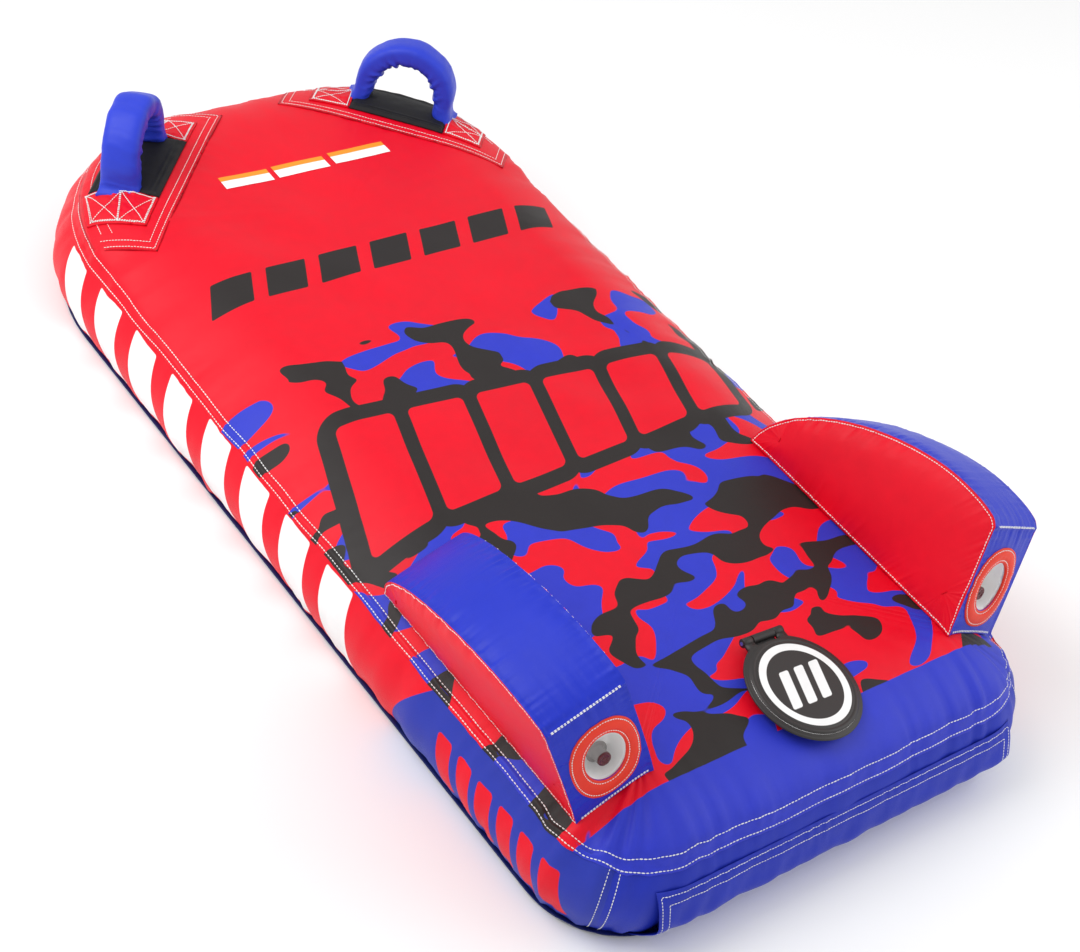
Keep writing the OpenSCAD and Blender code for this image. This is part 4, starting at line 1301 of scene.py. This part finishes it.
# share of the ring's width from its inner edge, and height above the panel
RING_SECTION = [(-0.03, -0.0016), (0, 0.0006), (0.03, 0.0014), (0.12, 0.0014), (0.16, 0.0009), (0.2, 0.0016),
                (0.35, 0.0024), (0.55, 0.0026), (0.75, 0.0020), (0.84, 0.0011), (0.9, 0.0016), (0.98, 0.0013),
                (1.0, 0.0002)]
side_flat = finer(finer(start_grid[:RINGS + 1, :, 1:].swapaxes(0, 1), FINE, wrap=True).swapaxes(0, 1)[::-1], 3)
for side, word in ((-1, "left"), (1, "right")):
    parts = bolster(side, word)
    strip, strip_facing, strip_away = parts["strip"]
    for name, last in (("inner", slice(0, LAP_OVER + 1)), ("outer", slice(-LAP_OVER - 1, None))):
        grid, facing, away = parts[name]
        lap = strip[last] if name == "inner" else strip[last][::-1]
        lap_facing = strip_facing[last] if name == "inner" else strip_facing[last][::-1]
        lap = lap + lap_facing * 0.0008
        lap[-1] -= lap_facing[-1] * 0.0006
        whole = np.concatenate([lap[1:][::-1], grid])
        rim = np.exp(-np.abs(np.concatenate([-strip_away[1:LAP_OVER + 1][::-1], away])) / 0.006)
        lap_flat = side_flat[:1] + (side_flat[:1] - side_flat[1:2]) * np.arange(
            LAP_OVER, 0, -1)[:, None, None] * 0.7
        flat = np.concatenate([lap_flat, side_flat])
        piece = lattice(f"bolster_{name}_{word}", whole, red_cloth, wrap=True, rim=rim,
                        pattern=np.concatenate([flat, flat[:, :1]], 1), flip=(name == "outer") == (side > 0))
        place(piece, "board", "red_cloth", f"bolster_{name}_panel_{word}")
        cut_cloth(weld(piece))
        along_seam("bolster", *row_at(grid, facing, away, 0.0042), closed=True)
    for name, first, last, slot in (("end", 0, TOP_FROM, "blue_cloth"),
                                    ("top", TOP_FROM, FOOT_FROM, "blue_cloth")):
        cols = slice(first, last + 1)
        rim = np.exp(-np.minimum(strip_away, strip_away[-1] - strip_away)[:, cols] / 0.006)
        piece = lattice(f"bolster_{name}_{word}", strip[:, cols], BLUE_STRIP, rim=rim, flip=side > 0)
        if name == "end":
            shell = tree_of(piece)
            with_port(piece, side, 1.0)
        place(piece, "board", slot, f"bolster_{name}_panel_{word}")
        cut_cloth(piece)
    across = slice(2 * LAP_OVER, -2 * LAP_OVER)
    for shift in (-0.0007, 0.0007):
        down = strip[across, TOP_FROM + 1] - strip[across, TOP_FROM]
        down /= np.linalg.norm(down, axis=1, keepdims=True)
        along_seam("bolster", strip[across, TOP_FROM] + down * shift, strip_facing[across, TOP_FROM])
        up = strip[across, 3] - strip[across, 2]
        up /= np.linalg.norm(up, axis=1, keepdims=True)
        along_seam("bolster", strip[across, 2] + up * shift, strip_facing[across, 2])

    # the ring round the port, its two stitch rows, and the bowl behind it
    rings, lifts = [], []
    for share, lift in RING_SECTION:
        rings.append(oval(OPENING + (RING_OUT - OPENING) * share, 96, 2.0 + 0.25 * max(share, 0)))
        lifts.append(lift)
    x, up = np.moveaxis(np.array(rings), 1, 0)
    spots, normals = dropped(shell, side, x, up)
    spots = spots + normals * np.array(lifts)[:, None, None]
    ring = lattice(f"port_ring_{word}", spots, trim_cloth, wrap=True, flip=side > 0, rim=0.3)
    place(ring, "board", "port_trim", f"bolster_port_ring_{word}")
    cut_cloth(ring)
    for row in (4, 9):
        along_seam("port", spots[row] + normals[row] * 0.0002, normals[row], closed=True)
    depth = np.concatenate([[-0.002, 0.0], np.linspace(0.0, 0.026, 14)[1:], [0.026] * 6])
    wide = np.concatenate([[1.22, 1.04], 0.99 - 0.20 * np.linspace(0, 1, 14)[1:] ** 3,
                           [0.72, 0.6, 0.45, 0.3, 0.15, 0.0]])
    edge_spots, edge_normals = dropped(shell, side, *oval(OPENING, 96))
    bowl_rows = []
    for deep, factor in zip(depth, wide):
        flat_x, flat_up = oval(OPENING * factor, 96)
        sunk = port_frame(side, flat_x, flat_up, -0.0004 - deep)
        blend_in = ramp(deep, 0.0, 0.012)
        at_edge, _ = dropped(shell, side, flat_x, flat_up) if factor > 0.9 else (sunk, None)
        creases = 0.0006 * waves(
            np.linspace(0, 1, 96, endpoint=False), 300 + side, 0.04, 0.2, loop=1.0)[:, None] * edge_normals
        bowl_rows.append(sunk * blend_in + (at_edge - edge_normals * (0.0025 + deep)) * (1 - blend_in)
                         + creases * (factor > 0.5))
    bowl = lattice(f"bowl_{word}", np.array(bowl_rows), white_vinyl, wrap=True, flip=side > 0)
    coarse = on_board(side, blown_grid)
    body_mesh, vertex = closed_mesh(coarse)
    inner_shell = shown(f"shell_{word}", body_mesh, white_vinyl)
    for v, normal in zip(body_mesh.vertices, [v.normal.copy() for v in body_mesh.vertices]):
        v.co -= normal * 0.0045
    with_port(inner_shell, side, 1.24)
    bladder = joined(f"bolster_bladder_skin_{word}", [inner_shell, weld(bowl)])
    place(bladder, "board", "white_vinyl", f"bolster_bladder_{word}")

# %% [markdown]
# ## Turned parts
# Stems, plugs and the valve's lid are turned: a profile of (radius, height) points spun round
# an axis that stands in its own small frame.

# %% Lathe
def turned_piece(name, profile, material, to_board, count=72, flip=False, shape=None):
    angle = np.linspace(0, TURN, count, endpoint=False)
    radius, height = np.array(profile, float).T / 1000
    x, y = radius[:, None] * np.cos(angle), radius[:, None] * np.sin(angle)
    if shape is not None:
        x, y = shape(x, y)
    z = np.broadcast_to(height[:, None], x.shape)
    flat = np.stack([x, y], -1)
    pattern = np.concatenate([flat, flat[:, :1]], 1)
    return outwards(weld(lattice(name, to_board(x, y, z), material, wrap=True, pattern=pattern)))


STEM_AT, STEM_DEEP = (0.053, 0.052), -0.0259
STEM = [(0, 0), (13.2, 0), (14, 0.6), (13.7, 1.6), (10.2, 2.1), (9.2, 3.0), (9, 4), (9, 14),
        (8.4, 15), (6.8, 15),
        (6.3, 14.4), (6.2, 4.4), (0, 4.2)]
PLUG = [(0, 5), (5.6, 5), (6, 5.6), (6, 15), (8.4, 15.2), (9, 15.8), (8.9, 17.3), (8.2, 18.1),
        (5.2, 18.2), (4.6, 17.5),
        (3.2, 17.2), (2.6, 18.0), (0, 18.2)]
for side, word in ((-1, "left"), (1, "right")):
    def on_stem(x, y, z):
        return port_frame(side, STEM_AT[0] + x, STEM_AT[1] + y, STEM_DEEP + z)
    stem = turned_piece(f"bolster_stem_{word}", STEM, clear_vinyl, on_stem, count=48)
    place(stem, "board", "clear_vinyl", f"bolster_valve_{word}")
    plug = turned_piece(f"bolster_stopper_{word}", PLUG, plug_vinyl, on_stem, count=48)
    place(plug, f"{word}_plug", "plug_vinyl", f"bolster_plug_{word}")

# %% [markdown]
# The inflation valve sits in the rear of the deck, tilted a little. Its lid is a thick rubber
# disc with a stepped edge and a flat face with a printed ring and three plain bars. The edge
# is cut straight where the collar's hinge arm passes.

# %% Valve lid
VALVE_SPOT = Matrix.Translation((0, VALVE_Y, DECK_Z + 0.014))
VALVE_TURN = Matrix.Rotation(math.radians(4), 4, "Y") @ Matrix.Rotation(math.radians(7), 4, "X")
valve_rotation = np.array((VALVE_SPOT @ VALVE_TURN).to_3x3())
valve_origin = np.array(VALVE_SPOT.to_translation())


def on_valve(x, y, z):
    return np.stack(np.broadcast_arrays(x, y, z), -1) @ valve_rotation.T + valve_origin


def lid_face(tree):
    flat = put(tree, "ShaderNodeTexCoord").outputs["UV"]
    x, y = put(tree, "ShaderNodeSeparateXYZ", {0: flat}).outputs[:2]
    away = put(tree, "ShaderNodeVectorMath", {0: flat}, operation="LENGTH").outputs["Value"]
    from_ring = calc(tree, "ABSOLUTE", calc(tree, "SUBTRACT", away, 0.0565))
    ring = calc(tree, "SUBTRACT", 1.0, soft_edge(tree, from_ring, 0.0048, 0.0052))
    bars = use(tree, bar_row, {"Along": x, "Across": y, "Start": -0.038, "Length": 0.076, "Bars": 3.0,
                               "Fill": 0.62,
                               "Height": 0.052, "Slant": 0.32, "Round": 0.003})["Mask"]
    lit = calc(tree, "MAXIMUM", ring, bars)
    return mixed(tree, lit, rgb(40, 36, 35), WHITE)


lid_rubber = moulded("printed_lid_rubber", lid_face, gloss=0.5, depth=0.12, grain=0.0002)
LID = [(0, -8.4), (20, -8.4), (76, -8.4), (78.2, -8.0), (79, -7.0), (79, -6.0), (78.3, -5.0), (76.5, -4.5),
       (75.2, -4.5),
       (74.9, -4.0), (73.6, -3.9), (72.9, -3.6), (72.2, -2.4), (71.6, -2.2), (71, -1.4),
       (70.2, -0.6), (68.6, -0.25),
       (66.6, -0.2), (66.0, -0.55), (65.4, -0.55), (64.8, -0.15), (62, 0), (50, 0), (35, 0), (20, 0), (0, 0)]


def notched(x, y):
    """Flattens the lid's edge where the hinge arm passes."""
    return x, np.where(np.abs(x) < 0.020, np.minimum(y, 0.0725), y)


def rod(name, x0, x1, y, z, radius, material, to_board, bevel=0.0008):
    """A round bar along x with bevelled ends."""
    angle = np.linspace(0, TURN, 32, endpoint=False)
    sections = [(x0, 0), (x0, radius - bevel), (x0 + bevel, radius), (x1 - bevel, radius),
                (x1, radius - bevel), (x1, 0)]
    rows = [to_board(np.full(32, x), y + r * np.cos(angle), z + r * np.sin(angle)) for x, r in sections]
    return outwards(weld(lattice(name, np.array(rows), material, wrap=True)))


def block(name, lows, highs, material, to_board, bevel=0.0008):
    """A bevelled block between two corners."""
    work = bmesh.new()
    bmesh.ops.create_cube(work, size=1.0)
    lows, highs = np.array(lows), np.array(highs)
    for v in work.verts:
        v.co = Vector((lows + highs) / 2 + np.array(v.co) * (highs - lows))
    bmesh.ops.bevel(work, geom=list(work.edges), offset=bevel, segments=2, affect="EDGES")
    for v in work.verts:
        v.co = Vector(to_board(*v.co))
    mesh = bpy.data.meshes.new(name)
    work.to_mesh(mesh)
    work.free()
    return shown(name, mesh, material)


disc = turned_piece("lid_disc", LID, lid_rubber, on_valve, count=216, shape=notched)
HINGE_Y, HINGE_Z = 0.084, -0.009
lid_parts = [disc]
for x0, x1 in ((-0.034, -0.019), (0.019, 0.034)):
    lid_parts.append(rod("knuckle", x0, x1, HINGE_Y, HINGE_Z, 0.006, lid_rubber, on_valve))
    lid_parts.append(block("arm", (x0, 0.064, -0.0108), (x1, 0.084, -0.0052), lid_rubber, on_valve))
lid = joined("valve_lid_rubber", lid_parts)
for loop_uv, loop in zip(lid.data.uv_layers[0].data, lid.data.loops):
    local = valve_rotation.T @ (np.array(lid.data.vertices[loop.vertex_index].co) - valve_origin)
    loop_uv.uv = local[:2] if local[2] > -0.003 else (0.2, 0.2)
place(lid, "lid", "valve_rubber", "valve_lid")

# %% [markdown]
# ## Zipper and flap
# A coil zipper closes the rear wall under a stitched flap. The coil's teeth are one small
# loop repeated along a line by a node group. The same group lays every sewing stitch on the
# cover: it takes lines with a facing direction, and puts one bead for each pitch.

# %% Beads along lines
def bead_group():
    tree = bpy.data.node_groups.new("beads_along_lines", "GeometryNodeTree")
    tree.interface.new_socket("Geometry", in_out="INPUT", socket_type="NodeSocketGeometry")
    names = {}
    for label, kind, value in (("Pitch", "NodeSocketFloat", 0.004),
                               ("Half Size", "NodeSocketVector", (1, 1, 1)),
                               ("Unevenness", "NodeSocketFloat", 0.1), ("Seed", "NodeSocketInt", 1),
                               ("Material", "NodeSocketMaterial", None)):
        socket = tree.interface.new_socket(label, in_out="INPUT", socket_type=kind)
        if value is not None:
            socket.default_value = value
        names[label] = socket.identifier
    tree.interface.new_socket("Geometry", in_out="OUTPUT", socket_type="NodeSocketGeometry")
    given = tree.nodes.new("NodeGroupInput").outputs
    curve = put(tree, "GeometryNodeMeshToCurve", {"Mesh": given["Geometry"]}).outputs[0]
    even_curve = tree.nodes.new("GeometryNodeResampleCurve")
    if hasattr(even_curve, "mode"):
        even_curve.mode = "LENGTH"
    else:
        even_curve.inputs["Mode"].default_value = "Length"
    tree.links.new(curve, even_curve.inputs["Curve"])
    tree.links.new(given["Pitch"], even_curve.inputs["Length"])
    tangent = put(tree, "GeometryNodeInputTangent").outputs[0]
    facing = put(tree, "GeometryNodeInputNamedAttribute", {"Name": "facing"},
                 data_type="FLOAT_VECTOR").outputs[0]
    ahead = put(tree, "FunctionNodeAlignEulerToVector", {"Vector": tangent}, axis="X").outputs[0]
    turned = put(tree, "FunctionNodeAlignEulerToVector", {"Rotation": ahead, "Vector": facing},
                 axis="Z", pivot_axis="X")
    low = calc(tree, "SUBTRACT", 1.0, given["Unevenness"])
    high = calc(tree, "ADD", 1.0, given["Unevenness"])
    random = put(tree, "FunctionNodeRandomValue", {2: low, 3: high, "Seed": given["Seed"]},
                 data_type="FLOAT").outputs[1]
    size = put(tree, "ShaderNodeVectorMath", {0: given["Half Size"], "Scale": random},
               operation="SCALE").outputs[0]
    bead = put(tree, "GeometryNodeMeshUVSphere", {"Segments": 6, "Rings": 4, "Radius": 1.0}).outputs[0]
    beads = put(tree, "GeometryNodeInstanceOnPoints",
                {"Points": even_curve.outputs[0], "Instance": bead,
                 "Rotation": turned.outputs[0], "Scale": size})
    real = put(tree, "GeometryNodeRealizeInstances", {"Geometry": beads.outputs[0]}).outputs[0]
    smooth = put(tree, "GeometryNodeSetShadeSmooth", {0: real}).outputs[0]
    dyed = put(tree, "GeometryNodeSetMaterial", {"Geometry": smooth, "Material": given["Material"]}).outputs[0]
    tree.links.new(dyed, tree.nodes.new("NodeGroupOutput").inputs[0])
    return tree, names


beads_along, bead_inputs = bead_group()


def beaded(name, lines, pitch, half_size, material, seed=1, unevenness=0.12):
    """One mesh of beads along every line; a line is (points, facing)."""
    points, facing, edges = [], [], []
    for line, normals in lines:
        start = len(points)
        points.extend(map(tuple, line))
        facing.extend(map(tuple, normals))
        edges.extend((start + k, start + k + 1) for k in range(len(line) - 1))
    mesh = bpy.data.meshes.new(name + "_lines")
    mesh.from_pydata([tuple(map(float, p)) for p in points], edges, [])
    mesh.attributes.new("facing", "FLOAT_VECTOR", "POINT").data.foreach_set(
        "vector", np.array(facing, np.float32).ravel())
    source = bpy.data.objects.new(name + "_lines", mesh)
    bpy.context.collection.objects.link(source)
    beads = source.modifiers.new("beads", "NODES")
    beads.node_group = beads_along
    for label, value in (("Pitch", pitch), ("Half Size", half_size), ("Unevenness", unevenness), ("Seed", seed),
                         ("Material", material)):
        beads[bead_inputs[label]] = value
    bpy.context.view_layer.update()
    seen = source.evaluated_get(bpy.context.evaluated_depsgraph_get())
    made = bpy.data.meshes.new_from_object(seen, depsgraph=bpy.context.evaluated_depsgraph_get())
    bpy.data.objects.remove(source)
    made.name = name
    obj = bpy.data.objects.new(name, made)
    bpy.context.collection.objects.link(obj)
    print(f"{name}: {len(made.polygons)} faces")
    return obj


# %% [markdown]
# The flap is a long strip that hangs from its top seam over the coil. It could lie flat on
# the wall, but the slider has to pass under it, so it stands off in a low ridge over the
# zipper.

# %% Coil, flap and its stitches
COIL_Y, ZIP_Z, ZIP_HALF = -HALF_L - BULGE - 0.0023, 0.052, 0.280
coil_lines = []
for shift in (-0.0015, 0.0015):
    x = np.linspace(-ZIP_HALF, ZIP_HALF, 300)
    line = np.stack([x, np.full(300, COIL_Y), np.full(300, ZIP_Z + shift)], 1)
    coil_lines.append((line, np.tile((0.0, -1.0, 0.0), (300, 1))))
coil = beaded("zipper_teeth", coil_lines, 0.0023, (0.00075, 0.0015, 0.00095), zip_plastic, unevenness=0.02)
place(coil, "board", "zip_plastic", "zipper_coil")

FLAP_HALF, FLAP_TOP, FLAP_LOW = 0.300, 0.100, 0.006
across = np.linspace(-FLAP_HALF, FLAP_HALF, 241)
down = np.linspace(0, 1, 49)


def flap_spot(x, share):
    z = FLAP_TOP - (FLAP_TOP - FLAP_LOW) * share
    ripple = 0.0011 * waves(x + 0.05 * share, 401, 0.03, 0.14) * np.sin(math.pi * share * 0.94)
    gathers = 0.0006 * waves(x, 402, 0.012, 0.03) * np.exp(-share / 0.14)
    over_zipper = np.exp(-((z - ZIP_Z) / 0.014) ** 2)
    lifted = 0.0045 * np.clip(np.sin(math.pi * share), 0, 1) ** 0.8 + 0.0052 * over_zipper
    bend = REAR_R + wall_out(z)
    past = np.maximum(np.abs(x) - (HALF_W - REAR_R), 0)
    recede = (bend - np.sqrt(bend ** 2 - past ** 2)) * (1 - 0.6 * np.clip(np.sin(math.pi * share), 0, 1))
    y = -HALF_L - wall_out(z) + recede - 0.0018 - lifted - ripple - gathers * ramp(share, 0, 0.03)
    low_z = z + 0.0008 * waves(x, 403, 0.05, 0.2) * share
    return np.stack(np.broadcast_arrays(x, y, low_z), -1)


flap_grid = flap_spot(across[None], down[:, None])
FLAP_FALL = 0.094           # from the flap's top seam to its free edge
FLAP_ROWS = (0.0045, 0.0145)        # its two stitch rows, measured in from the edge
HEM_SHARE = 0.94
ridge = sum(np.exp(-((down * FLAP_FALL - row) / 0.0013) ** 2) for row in FLAP_ROWS)
flap_grid[..., 1] += 0.0005 * ridge[:, None]
rim = np.maximum(np.exp(-down[:, None] / 0.08), np.exp(-(FLAP_HALF - np.abs(across))[None] / 0.006))
# the flap shares the rear wall's darker blue, which is painted shade
flap_cloth = lattice("rear_flap_cloth", flap_grid, rear_blue_painted_shade, rim=rim)
thicken(flap_cloth, 0.0009)
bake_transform(flap_cloth)
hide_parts("zipper_flap")
cut_cloth(flap_cloth)
flap_lines = []
CORNER_TACKS = [((-0.2955, 0.83), (-0.288, 0.95)), ((-0.290, 0.86), (-0.2955, 0.96)),
                ((-0.298, 0.90), (-0.282, 0.93)), ((-0.286, 0.955), (-0.297, 0.945))]


def sew_flap(x, share, lift=0.0011):
    """Adds a line of stitches just outside the flap."""
    line = flap_spot(x, share)
    line[:, 1] -= lift
    flap_lines.append((line, np.tile((0.0, -1.0, 0.0), (len(line), 1))))


for inset in FLAP_ROWS:
    reach, high = FLAP_HALF - inset, inset / FLAP_FALL
    share = np.concatenate([np.linspace(HEM_SHARE, high, 50), np.full(300, high), np.linspace(high, HEM_SHARE, 50)])
    sew_flap(np.concatenate([np.full(50, -reach), np.linspace(-reach, reach, 300), np.full(50, reach)]), share)
reach = FLAP_HALF - FLAP_ROWS[0]
sew_flap(np.linspace(-reach, reach, 300), np.full(300, HEM_SHARE))
for (x0, share0), (x1, share1) in CORNER_TACKS:
    share = np.linspace(0, 1, 8)
    sew_flap(x0 + (x1 - x0) * share, share0 + (share1 - share0) * share, lift=0.0013)
flap_thread = beaded("flap_stitching", flap_lines, 0.0042, (0.0019, 0.00062, 0.00050), thread, seed=5)
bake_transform(flap_thread)

# %% [markdown]
# ## Tow point
# A patch on the nose wall carries a webbing strap that is looped round the bar of the moulded
# tow link.

# %% Tow patch and strap
x, z = np.meshgrid(np.linspace(-0.060, 0.060, 41), np.linspace(0.018, 0.110, 31))
edge = np.minimum(0.060 - np.abs(x), np.minimum(z - 0.018, 0.110 - z))
y = HALF_L + wall_out(z) + 0.0042 - 0.0022 * np.exp(-edge / 0.0012)
tow_cloth = lattice("tow_patch_cloth", np.stack([x, y, z], -1), navy_cloth,
                    rim=np.exp(-edge / 0.005), flip=True)
place(tow_cloth, "board", "navy_cloth", "tow_patch")
cut_cloth(tow_cloth)
BAR_Y, BAR_Z = HALF_L + BULGE + 0.0122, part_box("tow_strap")[1].z - 0.009
turn = np.linspace(-math.pi / 2, math.pi * 1.1, 40)[::-1]
path = np.concatenate([[(BAR_Y - 0.0078, 0.021), (BAR_Y - 0.0078, 0.045), (BAR_Y - 0.0078, 0.070)],
                       np.stack([BAR_Y + 0.0077 * np.cos(turn), BAR_Z + 0.0077 * np.sin(turn)], 1)])
side_way = np.gradient(path, axis=0)
side_way = np.stack([-side_way[:, 1], side_way[:, 0]], 1) / np.linalg.norm(side_way, axis=1, keepdims=True)
around = np.concatenate([path + side_way * 0.00095, (path - side_way * 0.00095)[::-1]])
sections = [np.column_stack([np.full(len(around), x), around]) for x in (-0.0249, -0.0245, 0.0, 0.0245, 0.0249)]
tow_webbing = outwards(closed_ends(lattice("tow_webbing", np.array(sections), webbing, wrap=True)))
place(tow_webbing, "board", "webbing", "tow_strap")

# %% [markdown]
# ## Labels
# Three blank warning-label films with an orange header strip lie on the deck behind the
# handles. They carry no text.

# %% Labels on the deck
def label_dye(tree, where):
    height = put(tree, "ShaderNodeSeparateXYZ", {0: put(tree, "ShaderNodeTexCoord").outputs["UV"]}).outputs[1]
    return mixed(tree, soft_edge(tree, height, 0.0172, 0.0176), WHITE, rgb(247, 150, 40))


label_film = cloth("label_film", label_dye, gloss=0.35, depth=0.03, threads=400.0, weave_depth=0.00002)
deck_tree = tree_of(deck_cover)


def laid_on(tree, points, lift, toward=(0, 0, -1)):
    """Drops points onto a surface and lifts them off by a little; also gives its normals."""
    spots, normals = [], []
    for point in np.asarray(points).reshape(-1, 3):
        hit, normal, _, _ = tree.ray_cast(Vector(point) - 0.05 * Vector(toward), Vector(toward), 0.12)
        if hit is None:
            hit, normal, _, _ = tree.find_nearest(Vector(point))
        if normal.dot(Vector(toward)) > 0:
            normal = -normal
        spots.append(hit + normal * lift)
        normals.append(normal)
    shape = np.shape(points)
    return np.array(spots).reshape(shape), np.array(normals).reshape(shape)


for k, (mid_x, mid_y, turn_by, wide) in enumerate(((-0.104, 0.509, -0.03, 0.080), (-0.011, 0.509, -0.01, 0.088),
                                                   (0.094, 0.512, 0.0, 0.098))):
    u, v = np.meshgrid(np.linspace(0, wide, 24), np.linspace(0, 0.027, 9))
    x = mid_x + (u - wide / 2) * math.cos(turn_by) - (v - 0.0135) * math.sin(turn_by)
    y = mid_y + (u - wide / 2) * math.sin(turn_by) + (v - 0.0135) * math.cos(turn_by)
    spots, _ = laid_on(deck_tree, np.stack([x, y, deck_height(x, y)], -1), 0.0005)
    label = lattice(f"label_{k + 1}", spots, label_film, pattern=np.stack([u, v], -1))
    place(label, "board", "label_film")
    cut_cloth(label)

# %% [markdown]
# ## Sewing
# Every seam is sewn with thick white thread. The lines are laid just above the cloth they
# hold, and the bead group turns them into stitches.

# %% Deck, wall and corner rows
for row in (3, 9):
    wander = 0.0004 * waves(seam_run, 500 + row, 0.02, 0.12, loop=SEAM_LENGTH)[:, None]
    line = deck[row] + deck_facing[row] * 0.0004 + np.gradient(deck, axis=0)[row] * wander / 0.003 * 0.4
    along_seam("deck_seam", line, deck_facing[row], closed=True)
for name in ("rear", "nose"):
    for column in panel_ends[name]:
        for shift in (-1, 1):
            at = (column + shift) % len(seam_points)
            rows = slice(3, -2)
            along_seam("wall_corners", wall_rows[rows, at] + wall_facing[rows, at] * 0.0004,
                       wall_facing[rows, at])


def sewn_corner(group, side, corners, tree, lift=0.0007, pitch=0.004):
    """A stitched path through (s, t) corners on a handle corner."""
    path, facing = [], []
    for (s0, t0), (s1, t1) in zip(corners, corners[1:]):
        count = max(3, int(math.hypot(s1 - s0, t1 - t0) / pitch))
        share = np.linspace(0, 1, count)
        spots, normals = laid_on(tree, on_corner(
            side, s0 + (s1 - s0) * share, t0 + (t1 - t0) * share, 0.002), lift)
        path.append(spots)
        facing.append(normals)
    along_seam(group, np.concatenate(path), np.concatenate(facing))


for side, word in ((-1, "left"), (1, "right")):
    cloth_tree = tree_of(bpy.data.objects[f"corner_reinforcement_{word}"])
    for inset in (0.005, 0.015):
        s_end, t_in = 0.178 - inset, -0.085 + inset
        reach = float(corner_edge(s_end, 0.016))
        sewn_corner("corners", side, [(-s_end, reach), (-s_end, t_in), (s_end, t_in), (s_end, reach)],
                    cloth_tree)
    for inset in (0.020, 0.032):
        s = np.linspace(-0.15, 0.15, 31)
        sewn_corner("corners", side, list(zip(s, corner_edge(s, inset) + 0 * s)), cloth_tree)
    for end, end_word in ((-1, "front"), (1, "rear")):
        patch_tree = tree_of(bpy.data.objects[f"patch_{end_word}_{word}"])
        s0, s1 = end * (PATCH_FROM + 0.0045), end * (PATCH_FROM + PATCH_W - 0.0045)
        t0 = PATCH_IN + 0.0045
        far0, far1 = float(corner_edge(s0, 0.0135)), float(corner_edge(s1, 0.0135))
        mid0, mid1 = (t0 + far0) / 2, (t0 + far1) / 2
        for shift in (0.0, 0.0013):
            frame_path = [(s0, t0 + shift), (s0 + end * shift, far0 - shift), (s1 - end * shift, far1 - shift),
                          (s1 - end * shift, t0 + shift), (s0, t0 + shift)]
            sewn_corner("patches", side, frame_path, patch_tree)
            sewn_corner("patches", side, [(s0, mid0 + shift), (s1, mid1 + shift)], patch_tree)
        for (ta, tb), (tc, td) in (((t0, mid1), (mid0, t0)), ((mid0, far1), (far0, mid1))):
            sewn_corner("patches", side, [(s0, ta), (s1, tb)], patch_tree)
            sewn_corner("patches", side, [(s0, tc), (s1, td)], patch_tree)

# %% [markdown]
# Each group of lines has its own thread: the pitch first, then half the length, width and
# height of one stitch. The patches, which take the rider's pull, get the shortest stitches.

# %% Make the stitches
LOOKS = {"deck_seam": (0.0050, (0.0023, 0.00080, 0.00060)),
         "wall_corners": (0.0046, (0.0021, 0.00066, 0.00050)),
         "corners": (0.0044, (0.0020, 0.00062, 0.00048)), "patches": (0.0036, (0.0017, 0.00080, 0.00060)),
         "bolster": (0.0042, (0.0020, 0.00076, 0.00060)), "port": (0.0036, (0.0016, 0.00075, 0.00060))}
for seed, (group, lines) in enumerate(sorted(stitching.items())):
    pitch, half = LOOKS[group]
    sewn = beaded(f"{group}_stitches", lines, pitch, half, thread, seed=600 + seed)
    place(sewn, "board", "thread")

# %% [markdown]
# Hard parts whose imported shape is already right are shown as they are, and only their
# material is set.

# %% Materials of the CAD's own pieces that stay
for node, material in {"valve_base": black_rubber, "valve_collar": black_rubber, "valve_insert": valve_plastic,
                       "valve_check_flap": silicone, "valve_hinge_pin": steel, "drain_grommets": brass,
                       "zipper_tape": webbing, "zipper_slider": steel, "tow_link": link_plastic}.items():
    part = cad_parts[node]
    part.data.materials.clear()
    part.data.materials.append(material)

# %% [markdown]
# ## Studio
# The board stands on a plain pale floor under a large soft key light from the left front, a
# weaker fill from the right and an even white sky, which keeps the dyes clean.

# %% Floor and lights
floor = bpy.data.meshes.new("floor")
FLOOR_HALF, FLOOR_DROP = 6.0, 0.0005
floor.from_pydata([(x * FLOOR_HALF, y * FLOOR_HALF, -FLOOR_DROP)
                   for x, y in ((-1, -1), (1, -1), (1, 1), (-1, 1))],
                  [], [(0, 1, 2, 3)])
floor_material, _, floor_shader = blank("pale_floor")
floor_shader.inputs["Base Color"].default_value = (0.93, 0.93, 0.93, 1)
floor_shader.inputs["Roughness"].default_value = 0.9
shown("floor", floor, floor_material)

world = bpy.data.worlds.new("studio")
bpy.context.scene.world = world
world.use_nodes = True
world.node_tree.nodes["Background"].inputs["Color"].default_value = (1, 1, 1, 1)
world.node_tree.nodes["Background"].inputs["Strength"].default_value = 0.72


def soft_light(name, stands, watts, size):
    light = bpy.data.objects.new(name, bpy.data.lights.new(name, "AREA"))
    light.data.energy, light.data.size = watts, size
    place_at = Vector(stands)
    light.matrix_world = Matrix.Translation(place_at) @ place_at.to_track_quat("Z", "Y").to_matrix().to_4x4()
    bpy.context.collection.objects.link(light)


soft_light("key_light", (-1.9, 1.0, 2.6), 66, 2.2)
soft_light("fill_light", (2.2, -1.4, 1.6), 26, 2.4)
bpy.context.scene.view_settings.view_transform = "Standard"
print("lights and floor are set")
